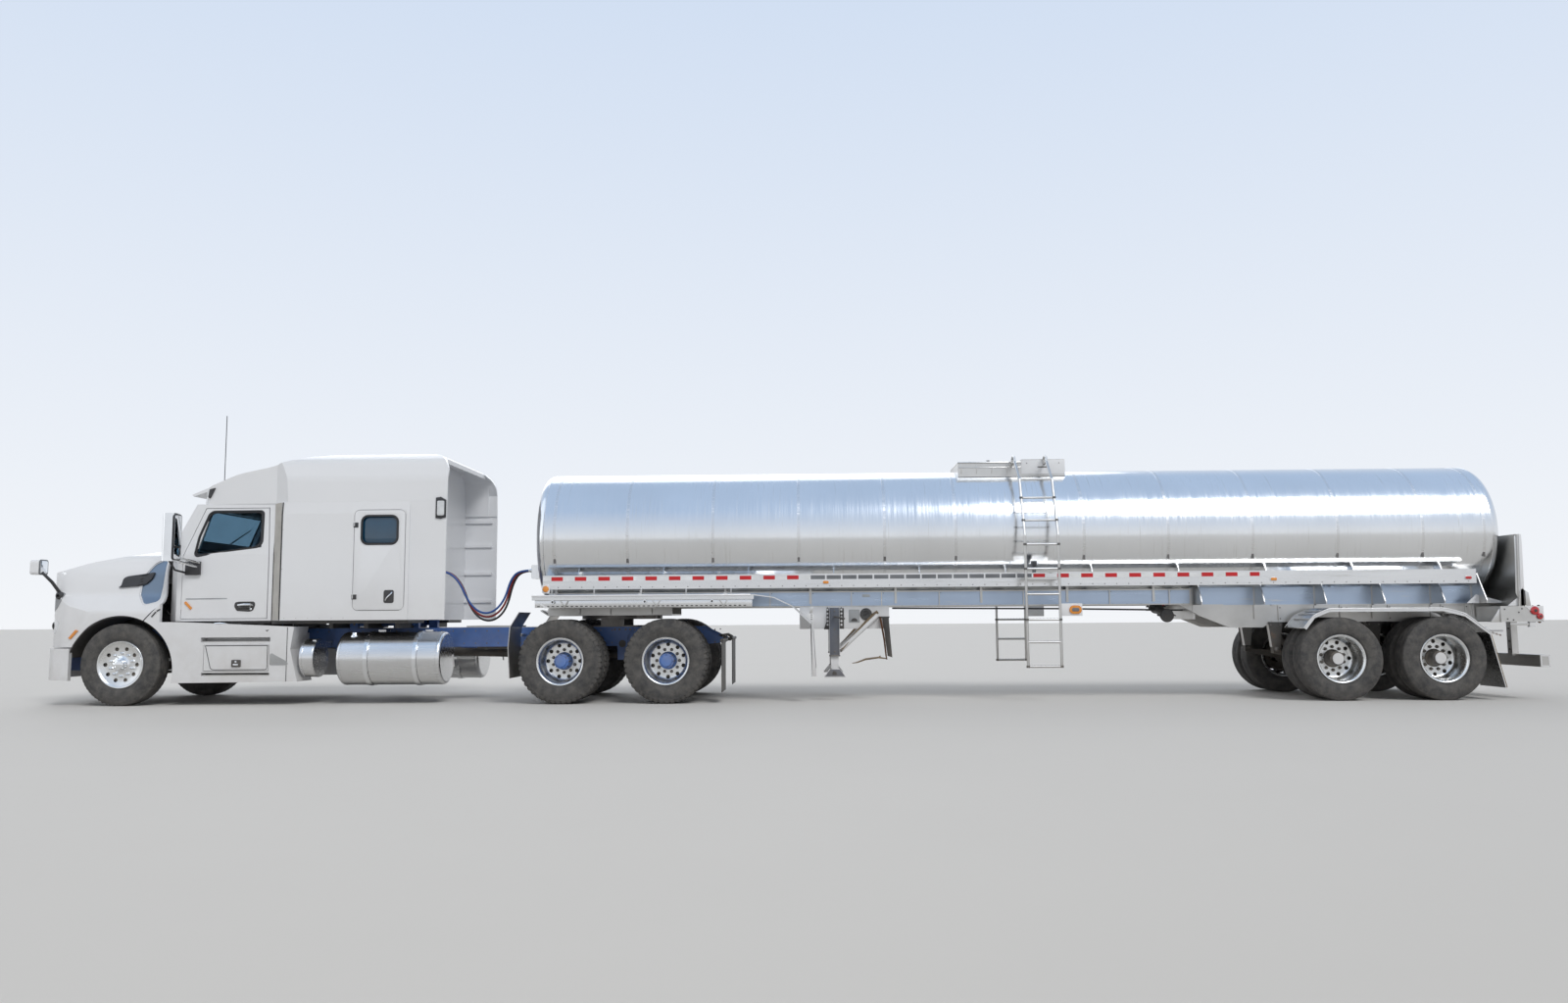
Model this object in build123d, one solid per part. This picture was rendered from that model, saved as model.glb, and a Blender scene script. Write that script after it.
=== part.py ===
from build123d import *
import math
import os

os.makedirs("parts", exist_ok=True)

# Millimetres. X runs rearward and is 0 at the front axle until everything is placed at the end, Y runs to the
# right-hand side and Z up from the road.

# Length stations
NOSE_X = -1200
TAIL_X = 17720
DRIVE_X = (5580, 6900)
TRAILER_X = (15190, 16435)
KINGPIN_X = 6100

# Clearances
SEAT = 0.3
GAP = 7
RUN = 12

# Widths from the centre plane
BODY_HALF = 1220
CAB_HALF = 1060
FENDER_HALF = 1190

# Wheels
STEER_R = 515
DRIVE_R = 525
TRAILER_R = 507
TYRE_W = 280
TREAD_W = 224
BEAD_W = 210
RIM_SEAT_R = 285.75
RIM_FLANGE_R = 298
RIM_IN_R = 262
STEER_Y = 1040
TWIN_Y = 907
TWIN_SPACING = 343
HUB_IN = 60

# Front bumper
BUMPER_X = -1150
BUMPER_T = 45
BUMPER_TOP = 722

# Tractor frame
RAIL_Y = 430
RAIL_W = 80
RAIL_T = 10
RAIL_TOP = 948
RAIL_BOTTOM = 700
RAIL_REAR_X = 7557
# Cross members as (x, bottom, top)
CROSS_MEMBERS = ((1700, 835, 918), (2600, 835, 918), (3600, 835, 918), (4700, 835, 918), (6240, 835, 918), (7480, 740, 800))

ENGINE_REAR_X = 430

# Front axle and steering
KINGPIN_Y = 900
BEAM_W = 110
BEAM_H = 110
SPRING_W = 90
SPINDLE_R = 40
ARM_X = 170
ARM_Z = 440

# Arch over the steered wheels
ARCH_R = 690
ARCH_Z = 440

# Hood and cab
HOOD_WALL = 35
HOOD_PIVOT = (-1160, 735)
HOOD_PIN_R = 10
HINGE_W = 50
HINGE_R = 8
CAB_MOUNTS = (620, 1640, 3480)
CAB_WALL = 60
CAB_BOTTOM = 1056
SEAM_Z = 2550
COWL_X = 500
CAB_REAR_X = 1860
SLEEPER_X = 2031
SLEEPER_REAR_X = 3660
ROOF_REAR_X = 4120
PANEL_T = 30

# Cab door, seen from the side
DOOR_X = 694
DOOR_REAR_X = 1813
DOOR_BOTTOM = 1080
REAR_GAP = 1.8

# Trailer
TANK_R = 885
TANK_Z = 2100
TANK_X = (5170, 17400)
PLATE_BOTTOM = 1094
PLATE_T = 16
COUPLER_X = (5276, 6900)
COUPLER_HALF = 540
KINGPIN_R = 25.4
KINGPIN_L = 84
BEAM_Y = 560
BELLY_TOP = 1389
BELLY_BOTTOM = 1188
SUB_Y = 500


def box(x0, x1, y0, y1, z0, z1):
    """A block between two corners."""
    centre = Pos((x0 + x1) / 2, (y0 + y1) / 2, (z0 + z1) / 2)
    return centre * Box(abs(x1 - x0), abs(y1 - y0), abs(z1 - z0))


def drawn_in(face, inset):
    """The face with its edges moved inward, corners kept sharp."""
    return offset(face, -inset, kind=Kind.INTERSECTION) if inset else face


def side_slab(points, y0, y1, inset=0):
    """An outline of (x, z) points, as seen from the side, made solid between two places across."""
    face = make_face(Polyline(*[(x, y0, z) for x, z in points], close=True))
    return extrude(drawn_in(face, inset), amount=y1 - y0, dir=(0, 1, 0))


def front_slab(points, x0, x1, inset=0):
    """An outline of (y, z) points, as seen from the front, made solid between two places along."""
    face = make_face(Polyline(*[(x0, y, z) for y, z in points], close=True))
    return extrude(drawn_in(face, inset), amount=x1 - x0, dir=(1, 0, 0))


def plan_slab(points, z0, z1):
    """An outline of (x, y) points, as seen from above, made solid between two heights."""
    face = make_face(Polyline(*[(x, y, z0) for x, y in points], close=True))
    return extrude(face, amount=z1 - z0, dir=(0, 0, 1))


def rod(start, end, radius):
    """A round bar between two points."""
    a = Vector(*start)
    b = Vector(*end)
    disc = Plane(origin=a, z_dir=b - a) * Circle(radius)
    return extrude(disc, amount=(b - a).length)


def across(x, z, y0, y1, radius):
    """A round bar across the lorry."""
    return rod((x, y0, z), (x, y1, z), radius)


def along(y, z, x0, x1, radius):
    """A round bar along the lorry."""
    return rod((x0, y, z), (x1, y, z), radius)


def fuse(*pieces):
    """All pieces as one solid."""
    total = pieces[0]
    for piece in pieces[1:]:
        total = total + piece
    return total


def both(piece):
    """A left-hand piece and its mirror image on the right."""
    return [piece, mirror(piece, about=Plane.XZ)]


def other(piece):
    """The mirror image of a left-hand piece, on the right."""
    return mirror(piece, about=Plane.XZ)


def mirrored(points):
    """Half an outline with the first value off the centre plane, completed on the other side."""
    return points + [(-y, z) for y, z in reversed(points) if y != 0]


def mirrored_plan(points):
    """Half a plan outline of (x, y) points, completed on the other side."""
    return points + [(x, -y) for x, y in reversed(points) if y != 0]


# Wheels. The profiles have r from the axle line and y outward from the wheel's own centre plane.


def spin(profile, x, y, z, side):
    """Turn an (r, y) profile about an axle line; side is -1 on the left and 1 on the right."""
    face = make_face(Polyline(*[(r, side * w, 0) for r, w in profile], close=True))
    return Pos(x, y, z) * revolve(face, axis=Axis.Y)


def tyre(x, y, z, radius, side):
    bead = BEAD_W / 2
    tread = TREAD_W / 2
    wide = TYRE_W / 2
    half = [
        (RIM_SEAT_R + SEAT, bead),
        (RIM_FLANGE_R + SEAT, bead),
        (RIM_FLANGE_R + 14, bead + 8),
        (radius - 150, wide - 3),
        (radius - 100, wide),
        (radius - 45, tread + 16),
        (radius - 13, tread + 4),
        (radius, tread - 12),
    ]
    profile = half + [(r, -w) for r, w in reversed(half)]
    return spin(profile, x, y, z, side)


def steer_wheel(x, side):
    """The wheel of the front axle: outboard disc, hub with its cap, brake drum."""
    flange = BEAD_W / 2 + SEAT
    profile = [
        (0, 100),
        (0, 150),
        (62, 150),
        (75, 135),
        (75, 90),
        (120, 82),
        (200, 82),
        (240, 100),
        (RIM_IN_R, 108),
        (RIM_IN_R, flange + 12),
        (RIM_FLANGE_R, flange + 12),
        (RIM_FLANGE_R, flange),
        (RIM_SEAT_R, flange),
        (RIM_SEAT_R, -flange),
        (RIM_FLANGE_R, -flange),
        (RIM_FLANGE_R, -flange - 12),
        (RIM_IN_R, -flange - 12),
        (RIM_IN_R, 78),
        (215, 62),
        (215, -60),
        (200, -60),
        (200, 50),
        (SPINDLE_R + SEAT, 50),
        (SPINDLE_R + SEAT, 100),
    ]
    return spin(profile, x, side * STEER_Y, STEER_R, side)


def twin_wheel(x, z, side, cap):
    """The two wheels of a twin set: discs back to back, hub through the outer dish."""
    half = TWIN_SPACING / 2
    flange = half + BEAD_W / 2 + SEAT
    inner = half - BEAD_W / 2 - SEAT
    profile = [
        (0, -HUB_IN),
        (0, cap),
        (70, cap),
        (88, cap - 30),
        (105, 24),
        (RIM_IN_R, 24),
        (RIM_IN_R, flange + 12),
        (RIM_FLANGE_R, flange + 12),
        (RIM_FLANGE_R, flange),
        (RIM_SEAT_R, flange),
        (RIM_SEAT_R, inner),
        (RIM_SEAT_R, -inner),
        (RIM_SEAT_R, -flange),
        (RIM_FLANGE_R, -flange),
        (RIM_FLANGE_R, -flange - 12),
        (RIM_IN_R, -flange - 12),
        (RIM_IN_R, -24),
        (215, -24),
        (215, -190),
        (200, -190),
        (200, -HUB_IN),
    ]
    return spin(profile, x, side * TWIN_Y, z, side)


def twin_set(x, z, radius, side, cap):
    half = TWIN_SPACING / 2
    outer = tyre(x, side * (TWIN_Y + half), z, radius, side)
    inner = tyre(x, side * (TWIN_Y - half), z, radius, side)
    return [outer, inner, twin_wheel(x, z, side, cap)]


# Tractor frame and running gear


def frame_rails():
    outline = [
        (-1060, RAIL_BOTTOM),
        (7150, RAIL_BOTTOM),
        (RAIL_REAR_X, 740),
        (RAIL_REAR_X, 800),
        (7250, RAIL_TOP),
        (-1060, RAIL_TOP),
    ]
    web = side_slab(outline, -RAIL_Y, -RAIL_Y + RAIL_T)
    top = box(-1060, 7250, -RAIL_Y, -RAIL_Y + RAIL_W, RAIL_TOP - RAIL_T, RAIL_TOP)
    bottom = box(-1060, 7150, -RAIL_Y, -RAIL_Y + RAIL_W, RAIL_BOTTOM, RAIL_BOTTOM + RAIL_T)
    drop = box(BUMPER_X + BUMPER_T + SEAT, -960, -RAIL_Y, -RAIL_Y + RAIL_W, 420, RAIL_TOP)
    ear = box(HOOD_PIVOT[0], -1060, -RAIL_Y, -RAIL_Y + HINGE_W, BUMPER_TOP + SEAT, HOOD_PIVOT[1] - 2)
    eye = across(*HOOD_PIVOT, -RAIL_Y, -RAIL_Y + HINGE_W, HOOD_PIN_R)
    posts = [box(x - 60, x + 60, -RAIL_Y, -RAIL_Y + RAIL_W, RAIL_TOP - RAIL_T, CAB_BOTTOM - SEAT) for x in CAB_MOUNTS]
    rail = fuse(web, top, bottom, drop, ear, eye, *posts)
    members = [
        box(x - 40, x + 40, -RAIL_Y + RAIL_T, RAIL_Y - RAIL_T, z0, z1) for x, z0, z1 in CROSS_MEMBERS
    ]
    front = box(-1040, -990, -RAIL_Y + RAIL_T, RAIL_Y - RAIL_T, RAIL_BOTTOM - 60, RAIL_BOTTOM + 40)
    return fuse(rail, other(rail), front, *members)


def front_axle():
    """Dropped beam with kingpin eyes, and a leaf spring with its hangers on each side."""
    eye_z = STEER_R
    low = 410
    pad_top = 545
    outline = [
        (-KINGPIN_Y, eye_z - 60),
        (-KINGPIN_Y, eye_z + 60),
        (-760, eye_z + 60),
        (-560, pad_top),
        (-330, pad_top),
        (-230, low + BEAM_H),
        (0, low + BEAM_H),
    ]
    under = [
        (0, low),
        (-260, low),
        (-420, pad_top - BEAM_H),
        (-700, eye_z - 60),
    ]
    half = outline + under
    beam = front_slab(half, -BEAM_W / 2, BEAM_W / 2)
    boss = rod((0, -KINGPIN_Y, eye_z - 60), (0, -KINGPIN_Y, eye_z + 60), 48)
    y0 = -RAIL_Y - 5
    y1 = y0 + SPRING_W
    leaf = side_slab(
        [
            (-640, 640),
            (-50, pad_top),
            (50, pad_top),
            (640, 640),
            (760, 640),
            (760, 665),
            (640, 665),
            (50, 612),
            (-50, 612),
            (-640, 665),
            (-700, 665),
            (-700, 640),
        ],
        y0,
        y1,
    )
    hanger_f = side_slab([(-760, 620), (-640, 620), (-600, RAIL_BOTTOM - SEAT), (-800, RAIL_BOTTOM - SEAT)], y0, y1)
    hanger_r = side_slab([(700, 600), (790, 600), (830, RAIL_BOTTOM - SEAT), (680, RAIL_BOTTOM - SEAT)], y0, y1)
    left = fuse(beam, boss, leaf, hanger_f, hanger_r)
    return fuse(left, other(left))


def knuckle_left():
    """Fork round the axle's eye, spindle, brake backing disc and the arm to the tie rod."""
    y = -KINGPIN_Y
    z = STEER_R
    top = rod((0, y, z + 60 + SEAT), (0, y, z + 100), 44)
    bottom = rod((0, y, z - 100), (0, y, z - 60 - SEAT), 44)
    upright = box(-44, 44, y - 85, y - 53, z - 100, z + 100)
    top_arm = box(-44, 44, y - 60, y, z + 60 + SEAT, z + 100)
    low_arm = box(-44, 44, y - 60, y, z - 100, z - 60 - SEAT)
    plate = across(0, z, y - 78, y - 60, 175)
    spindle = across(0, z, y - 78, -STEER_Y - 85, SPINDLE_R)
    arm = plan_slab([(-44, y), (30, y), (ARM_X + 25, -KINGPIN_Y - 22), (ARM_X + 25, -KINGPIN_Y + 22), (ARM_X - 25, -KINGPIN_Y + 22), (-44, y + 40)], z - 100, z - 62)
    return fuse(top, bottom, upright, top_arm, low_arm, plate, spindle, arm)


def tie_rod():
    top = STEER_R - 100 - SEAT
    bar = across(ARM_X, top - 24, -KINGPIN_Y + 20, KINGPIN_Y - 20, 18)
    ends = [rod((ARM_X, s * KINGPIN_Y, top - 48), (ARM_X, s * KINGPIN_Y, top), 24) for s in (-1, 1)]
    return fuse(bar, *ends)


def engine():
    """The engine as one plain block, and the radiator in front of it."""
    block = box(-760, ENGINE_REAR_X, -300, 300, 575, 1560)
    y = RAIL_Y - RAIL_W - SEAT
    radiator = box(-950, -860, -y, y, RAIL_BOTTOM + 60, 1500)
    return [block, radiator]


def driveline():
    """Gearbox, shafts and both drive axle housings, with their air springs."""
    z = DRIVE_R
    case = fuse(box(ENGINE_REAR_X + SEAT, 900, -240, 240, 620, 1010), box(900, 1500, -170, 170, 640, 960))
    shaft = fuse(rod((1490, 0, 775), (3500, 0, 640), 50), rod((3450, 0, 640), (DRIVE_X[0] - 150, 0, z + 60), 55))
    pieces = [case, shaft]
    for x in DRIVE_X:
        housing = across(x, z, -TWIN_Y + HUB_IN + SEAT, TWIN_Y - HUB_IN - SEAT, 70)
        bowl = along(0, z + 20, x - 190, x + 150, 190)
        pieces += [housing, bowl]
        for s in (-1, 1):
            seat = box(x - 60, x + 240, s * 340, s * 420, z - 40, z + 90)
            spring = rod((x + 200, s * 380, z + 90), (x + 200, s * 380, RAIL_BOTTOM - SEAT), 95)
            pieces += [seat, spring]
    pieces.append(rod((DRIVE_X[0] + 140, 0, z + 60), (DRIVE_X[1] - 180, 0, z + 60), 50))
    return fuse(*pieces)


def fifth_wheel():
    top = PLATE_BOTTOM - SEAT
    disc = rod((KINGPIN_X, 0, top - 45), (KINGPIN_X, 0, top), 470)
    tail = box(KINGPIN_X, KINGPIN_X + 560, -350, 350, top - 45, top)
    throat = plan_slab(
        [(KINGPIN_X, -31), (KINGPIN_X + 120, -31), (KINGPIN_X + 600, -190), (KINGPIN_X + 600, 190), (KINGPIN_X + 120, 31), (KINGPIN_X, 31)],
        top - 60,
        top + 10,
    )
    pin = rod((KINGPIN_X, 0, top - 60), (KINGPIN_X, 0, top + 10), 31)
    plate = disc + tail - throat - pin
    pieces = [plate]
    for s in (-1, 1):
        pieces.append(box(KINGPIN_X - 150, KINGPIN_X + 150, s * (RAIL_Y - 60), s * RAIL_Y, RAIL_TOP + SEAT, top - 45))
        pieces.append(box(KINGPIN_X - 330, KINGPIN_X + 330, s * (RAIL_Y - 60), s * RAIL_Y, RAIL_TOP + SEAT, RAIL_TOP + 18))
    return fuse(*pieces)


def bumper():
    x = BUMPER_X
    half = [(x, 0), (x, -480), (x + 50, -860), (x + 220, -1110), (-640, -FENDER_HALF)]
    t = BUMPER_T
    inner = [(x + t, 0), (x + t, -470), (x + t + 55, -840), (x + 245, -1075), (-630, -FENDER_HALF + t)]
    top = BUMPER_TOP
    shell = plan_slab(mirrored_plan(half), 330, top) - plan_slab(mirrored_plan(inner), 320, top + 10)
    mouth = box(-1200, -1000, -330, 330, 460, 640)
    return shell - mouth


# Hood


def hood_side(drop, back):
    """Side outline; drop opens the bottom and back opens the rear of the inner form."""
    return [
        (HOOD_PIVOT[0], HOOD_PIVOT[1] - drop),
        (-1165, 952),
        (NOSE_X, 1300),
        (NOSE_X, 1450),
        (-1144, 1625),
        (-900, 1725),
        (-592, 1813),
        (150, 1960),
        (415 + back, 1985),
        (COWL_X - RUN + back, 1292),
        (300 - RUN + back, 1074),
        (300 - RUN + back, 735 - drop),
    ]


def hood_front(drop):
    return [
        (-FENDER_HALF, 735 - drop),
        (-FENDER_HALF, 1170),
        (-1110, 1290),
        (-1010, 1400),
        (-950, 1700),
        (-880, 1880),
        (-600, 1985),
        (0, 2010),
    ]


def hood_plan(back):
    return [
        (NOSE_X, 0),
        (NOSE_X, -420),
        (-1150, -700),
        (-1040, -930),
        (-800, -1110),
        (-450, -FENDER_HALF),
        (600 + back, -FENDER_HALF),
        (600 + back, 0),
    ]


def three_way(side, front, plan, inset, y_half, x0, x1, z0, z1):
    """The solid that has the given outline from the side, the front and above, drawn in by inset."""
    a = make_face(Polyline(*[(x, -y_half, z) for x, z in side], close=True))
    b = make_face(Polyline(*[(x0, y, z) for y, z in front], close=True))
    c = make_face(Polyline(*[(x, y, z0) for x, y in plan], close=True))
    from_side = extrude(drawn_in(a, inset), amount=2 * y_half, dir=(0, 1, 0))
    from_front = extrude(drawn_in(b, inset), amount=x1 - x0, dir=(1, 0, 0))
    from_above = extrude(drawn_in(c, inset), amount=z1 - z0, dir=(0, 0, 1))
    return from_side & from_front & from_above


def hood_form(inset):
    opened = 200 if inset else 0
    return three_way(
        hood_side(opened, opened),
        mirrored(hood_front(opened)),
        mirrored_plan(hood_plan(opened)),
        inset,
        1300,
        -1400,
        900,
        400,
        2200,
    )


GRILLE = [(-400, 800), (-440, 1500), (440, 1500), (400, 800)]
LAMP = [(-1400, 880), (-1400, 1120), (-1000, 1110), (-865, 1050), (-950, 900)]


def hood_parts():
    outer = hood_form(0)
    shell = outer - hood_form(HOOD_WALL)
    arch = across(0, ARCH_Z, -1300, 1300, ARCH_R)
    shell = shell - arch
    grille_zone = front_slab(GRILLE, -1400, -1050)
    lamp_zone = side_slab(LAMP, -1300, -560) + side_slab(LAMP, 560, 1300)
    lamps = shell & lamp_zone
    shell = shell - grille_zone - lamp_zone
    for y in (-RAIL_Y, RAIL_Y - HINGE_W):
        shell = shell - across(*HOOD_PIVOT, y - 5, y + HINGE_W + 5, HOOD_PIN_R + SEAT)
    sheet = hood_form(6) - hood_form(26)
    panel = sheet & front_slab(GRILLE, -1400, -1050, SEAT)
    slots = [box(-1400, -1050, -500, 500, z, z + 34) for z in range(840, 1460, 56)]
    field = front_slab(GRILLE, -1400, -1050, 34)
    grille = panel - [slot & field for slot in slots]
    return shell, grille, lamps


def hood_mirror():
    foot = rod((-905, -985, 1400), (-960, -1100, 1560), 18)
    arm = rod((-960, -1100, 1560), (-1060, -1180, 1700), 16)
    head = box(-1180, -1060, -1220, -1060, 1655, 1845)
    head = fillet(head.edges().filter_by(Axis.X), 40)
    return fuse(foot, arm, head) - hood_form(0)


# Cab and sleeper


def cab_side():
    return [
        (COWL_X, CAB_BOTTOM),
        (COWL_X, 2030),
        (586, 2057),
        (830, SEAM_Z),
        (CAB_REAR_X, SEAM_Z),
        (CAB_REAR_X, CAB_BOTTOM),
    ]


SIDE_BELT = 1900
SIDE_TOP_HALF = 1010


def cab_front():
    return [(-CAB_HALF, CAB_BOTTOM), (-CAB_HALF, SIDE_BELT), (-SIDE_TOP_HALF, SEAM_Z), (0, SEAM_Z)]


def cab_plan():
    return [(COWL_X, 0), (COWL_X, -930), (DOOR_X - 60, -CAB_HALF), (CAB_REAR_X, -CAB_HALF), (CAB_REAR_X, 0)]


def cab_solid(inset):
    return three_way(
        cab_side(), mirrored(cab_front()), mirrored_plan(cab_plan()), inset, 1300, 300, 2100, 900, 2700
    )


def side_band(depth, grow):
    """The cab's side wall as a band to a given depth, down the whole side."""
    z0 = CAB_BOTTOM
    return front_slab(
        [
            (-CAB_HALF - grow, z0),
            (-CAB_HALF - grow, SIDE_BELT),
            (-SIDE_TOP_HALF - grow, SEAM_Z),
            (-SIDE_TOP_HALF + depth, SEAM_Z),
            (-CAB_HALF + depth, SIDE_BELT),
            (-CAB_HALF + depth, z0),
        ],
        300,
        2100,
    )


def door_outline(gap):
    return [
        (DOOR_X + gap, DOOR_BOTTOM + gap),
        (DOOR_X + gap, 1880),
        (950 + gap, 2500 - gap),
        (1780 - gap * REAR_GAP, 2500 - gap),
        (DOOR_REAR_X - gap * REAR_GAP, 1900),
        (DOOR_REAR_X - gap * REAR_GAP, DOOR_BOTTOM + gap),
    ]


WINDOW = [(856, 1890), (1020, 2440), (1690, 2440), (1700, 1990)]
SCREEN = [(-880, 2110), (-820, 2500), (820, 2500), (880, 2110)]


def cab_parts():
    hollow = cab_solid(CAB_WALL)
    rear_open = box(CAB_REAR_X - CAB_WALL - 10, CAB_REAR_X + 10, -CAB_HALF + 90, CAB_HALF - 90, CAB_BOTTOM + CAB_WALL, SEAM_Z - 60)
    roof_open = box(950, CAB_REAR_X + 10, -SIDE_TOP_HALF + 90, SIDE_TOP_HALF - 90, SEAM_Z - 100, SEAM_Z + 10)
    shell = cab_solid(0) - hollow - rear_open - roof_open
    door_cut = side_band(CAB_WALL + RUN, 60) & side_slab(door_outline(0), -1300, 0)
    shell = shell - door_cut - other(door_cut)
    screen_zone = front_slab(SCREEN, 300, 1300)
    glass_zone = front_slab(SCREEN, 300, 1300, SEAT)
    windscreen = (cab_solid(15) - cab_solid(23)) & glass_zone
    front_region = box(400, 900, -1300, 1300, 1800, 2600)
    shell = shell - (screen_zone & front_region)
    for pin in door_pins(HINGE_R):
        shell = shell + pin + other(pin)
    windscreen = windscreen & front_region
    return shell, windscreen


def door_pins(radius):
    """The cab door's two hinge pins, upright on the door's outer front edge."""
    return [rod((DOOR_X + GAP, -CAB_HALF, z), (DOOR_X + GAP, -CAB_HALF, z + 60), radius) for z in (1200, 1780)]


def door_left():
    slab = side_band(CAB_WALL, 0) & side_slab(door_outline(GAP), -1300, 0)
    window = side_slab(WINDOW, -1300, 0)
    handle = box(1460, 1600, -CAB_HALF - 28, -CAB_HALF - 14, 1225, 1260)
    posts = fuse(
        box(1460, 1480, -CAB_HALF - 20, -CAB_HALF, 1225, 1260), box(1580, 1600, -CAB_HALF - 20, -CAB_HALF, 1225, 1260)
    )
    return fuse(slab - window - door_pins(HINGE_R + SEAT), handle, posts)


def door_glass_left():
    """The door's pane, 8 mm thick in the middle of the door's wall, standing in its window."""
    pane = side_band(30, 0) - side_band(22, 10)
    return pane & side_slab(WINDOW, -1300, 0, SEAT)


def mirror_left():
    """The tall mirror on its two arms, carried by the cab door."""
    head = box(640, 790, -1500, -1300, 1800, 2400)
    head = fillet(head.edges().filter_by(Axis.Z), 50)
    foot = box(870, 930, -CAB_HALF - 30, -CAB_HALF - SEAT, 1690, 1790)
    low = rod((900, -CAB_HALF - 22, 1740), (720, -1400, 1830), 18)
    return fuse(head, foot, low)


def sleeper_plan():
    return [
        (CAB_REAR_X + SEAT, 0),
        (CAB_REAR_X + SEAT, -CAB_HALF + 20),
        (SLEEPER_X, -BODY_HALF),
        (SLEEPER_REAR_X, -BODY_HALF),
        (SLEEPER_REAR_X, 0),
    ]


def sleeper_side():
    return [
        (CAB_REAR_X + SEAT, CAB_BOTTOM),
        (CAB_REAR_X + SEAT, SEAM_Z),
        (SLEEPER_REAR_X, SEAM_Z),
        (SLEEPER_REAR_X, CAB_BOTTOM),
    ]


def sleeper_front():
    return [(-BODY_HALF, CAB_BOTTOM), (-BODY_HALF, 2400), (-BODY_HALF + 20, SEAM_Z), (0, SEAM_Z)]


SLEEPER_DOOR = (2955, 3620, 1172, 2444)


def sleeper_parts():
    args = (sleeper_side(), mirrored(sleeper_front()), mirrored_plan(sleeper_plan()))
    outer = three_way(*args, 0, 1300, 1000, 4000, 900, 2700)
    inner = three_way(*args, CAB_WALL, 1300, 1000, 4000, 900, 2700)
    front_open = box(CAB_REAR_X - 10, CAB_REAR_X + 90, -CAB_HALF + 110, CAB_HALF - 110, CAB_BOTTOM + CAB_WALL, SEAM_Z - 60)
    roof_open = box(CAB_REAR_X - 10, SLEEPER_REAR_X - 90, -BODY_HALF + 300, BODY_HALF - 300, SEAM_Z - 100, SEAM_Z + 10)
    x0, x1, z0, z1 = SLEEPER_DOOR
    door_cut = box(x0, x1 - 5, -1300, -BODY_HALF + CAB_WALL + 5, z0, z1)
    shell = outer - inner - front_open - roof_open - door_cut - other(door_cut)
    door = box(x0 + GAP, x1 - 5 - GAP - 3, -BODY_HALF, -BODY_HALF + CAB_WALL, z0 + GAP, z1 - GAP)
    for z in (z0 + 150, z1 - 210):
        pin = rod((x0 + GAP, -BODY_HALF, z), (x0 + GAP, -BODY_HALF, z + 60), HINGE_R)
        room = rod((x0 + GAP, -BODY_HALF, z), (x0 + GAP, -BODY_HALF, z + 60), HINGE_R + SEAT)
        shell = shell + pin + other(pin)
        door = door - room
    return fuse(shell, line_bracket()), door


def roof_side(inset):
    z0 = SEAM_Z + SEAT
    return [
        (832, z0 - 4 * inset),
        (895, 2690),
        (983, 2780),
        (1352, 2938),
        (1762, 3020),
        (2195, 3153),
        (2742, 3215),
        (3431, 3224),
        (4024, 3179),
        (ROOF_REAR_X, 2950),
        (ROOF_REAR_X, z0 - 4 * inset),
    ]


def roof_front(inset):
    z0 = SEAM_Z + SEAT
    return [(-BODY_HALF + 20, z0 - 4 * inset), (-BODY_HALF + 40, 2850), (-1090, 3080), (-900, 3190), (0, 3230)]


def roof_plan():
    return [
        (832, 0),
        (832, -820),
        (960, -SIDE_TOP_HALF),
        (CAB_REAR_X, -SIDE_TOP_HALF - 10),
        (SLEEPER_X + 60, -BODY_HALF + 20),
        (ROOF_REAR_X, -BODY_HALF + 20),
        (ROOF_REAR_X, 0),
    ]


def roof_form(inset):
    return three_way(
        roof_side(inset), mirrored(roof_front(inset)), mirrored_plan(roof_plan()), inset, 1300, 700, 4300, 2200, 3400
    )


def roof_cap():
    outer = roof_form(0)
    inner = roof_form(45)
    room = inner & box(700, SLEEPER_REAR_X - 60, -1300, 1300, 2000, 3400)
    tail = inner & box(SLEEPER_REAR_X, 4200, -1300, 1300, 2000, 3400)
    tail = tail + Pos(60, 0, 0) * tail
    shell = outer - room - tail
    visor = side_slab([(672, 2691), (690, 2668), (975, 2762), (1040, 2800), (942, 2803)], -860, 860)
    return fuse(shell, visor)


def antenna():
    base = rod((1010, -700, 2795), (1010, -700, 2822), 22)
    whip = rod((1010, -700, 2815), (1010, -700, 3753), 5)
    return fuse(base, whip) - roof_cap()


def side_extender():
    y = -BODY_HALF + 20
    panel = box(SLEEPER_REAR_X + SEAT, ROOF_REAR_X, y, y + PANEL_T, CAB_BOTTOM, SEAM_Z)
    ribs = [box(SLEEPER_REAR_X + SEAT, ROOF_REAR_X - 60, y, y + PANEL_T + 25, z, z + 40) for z in (1300, 1700, 2100, 2450)]
    return fuse(panel, *ribs)


TOOLBOX = (1079, 1913, 429, 766)
TOOLBOX_PIN_R = 6


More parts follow.
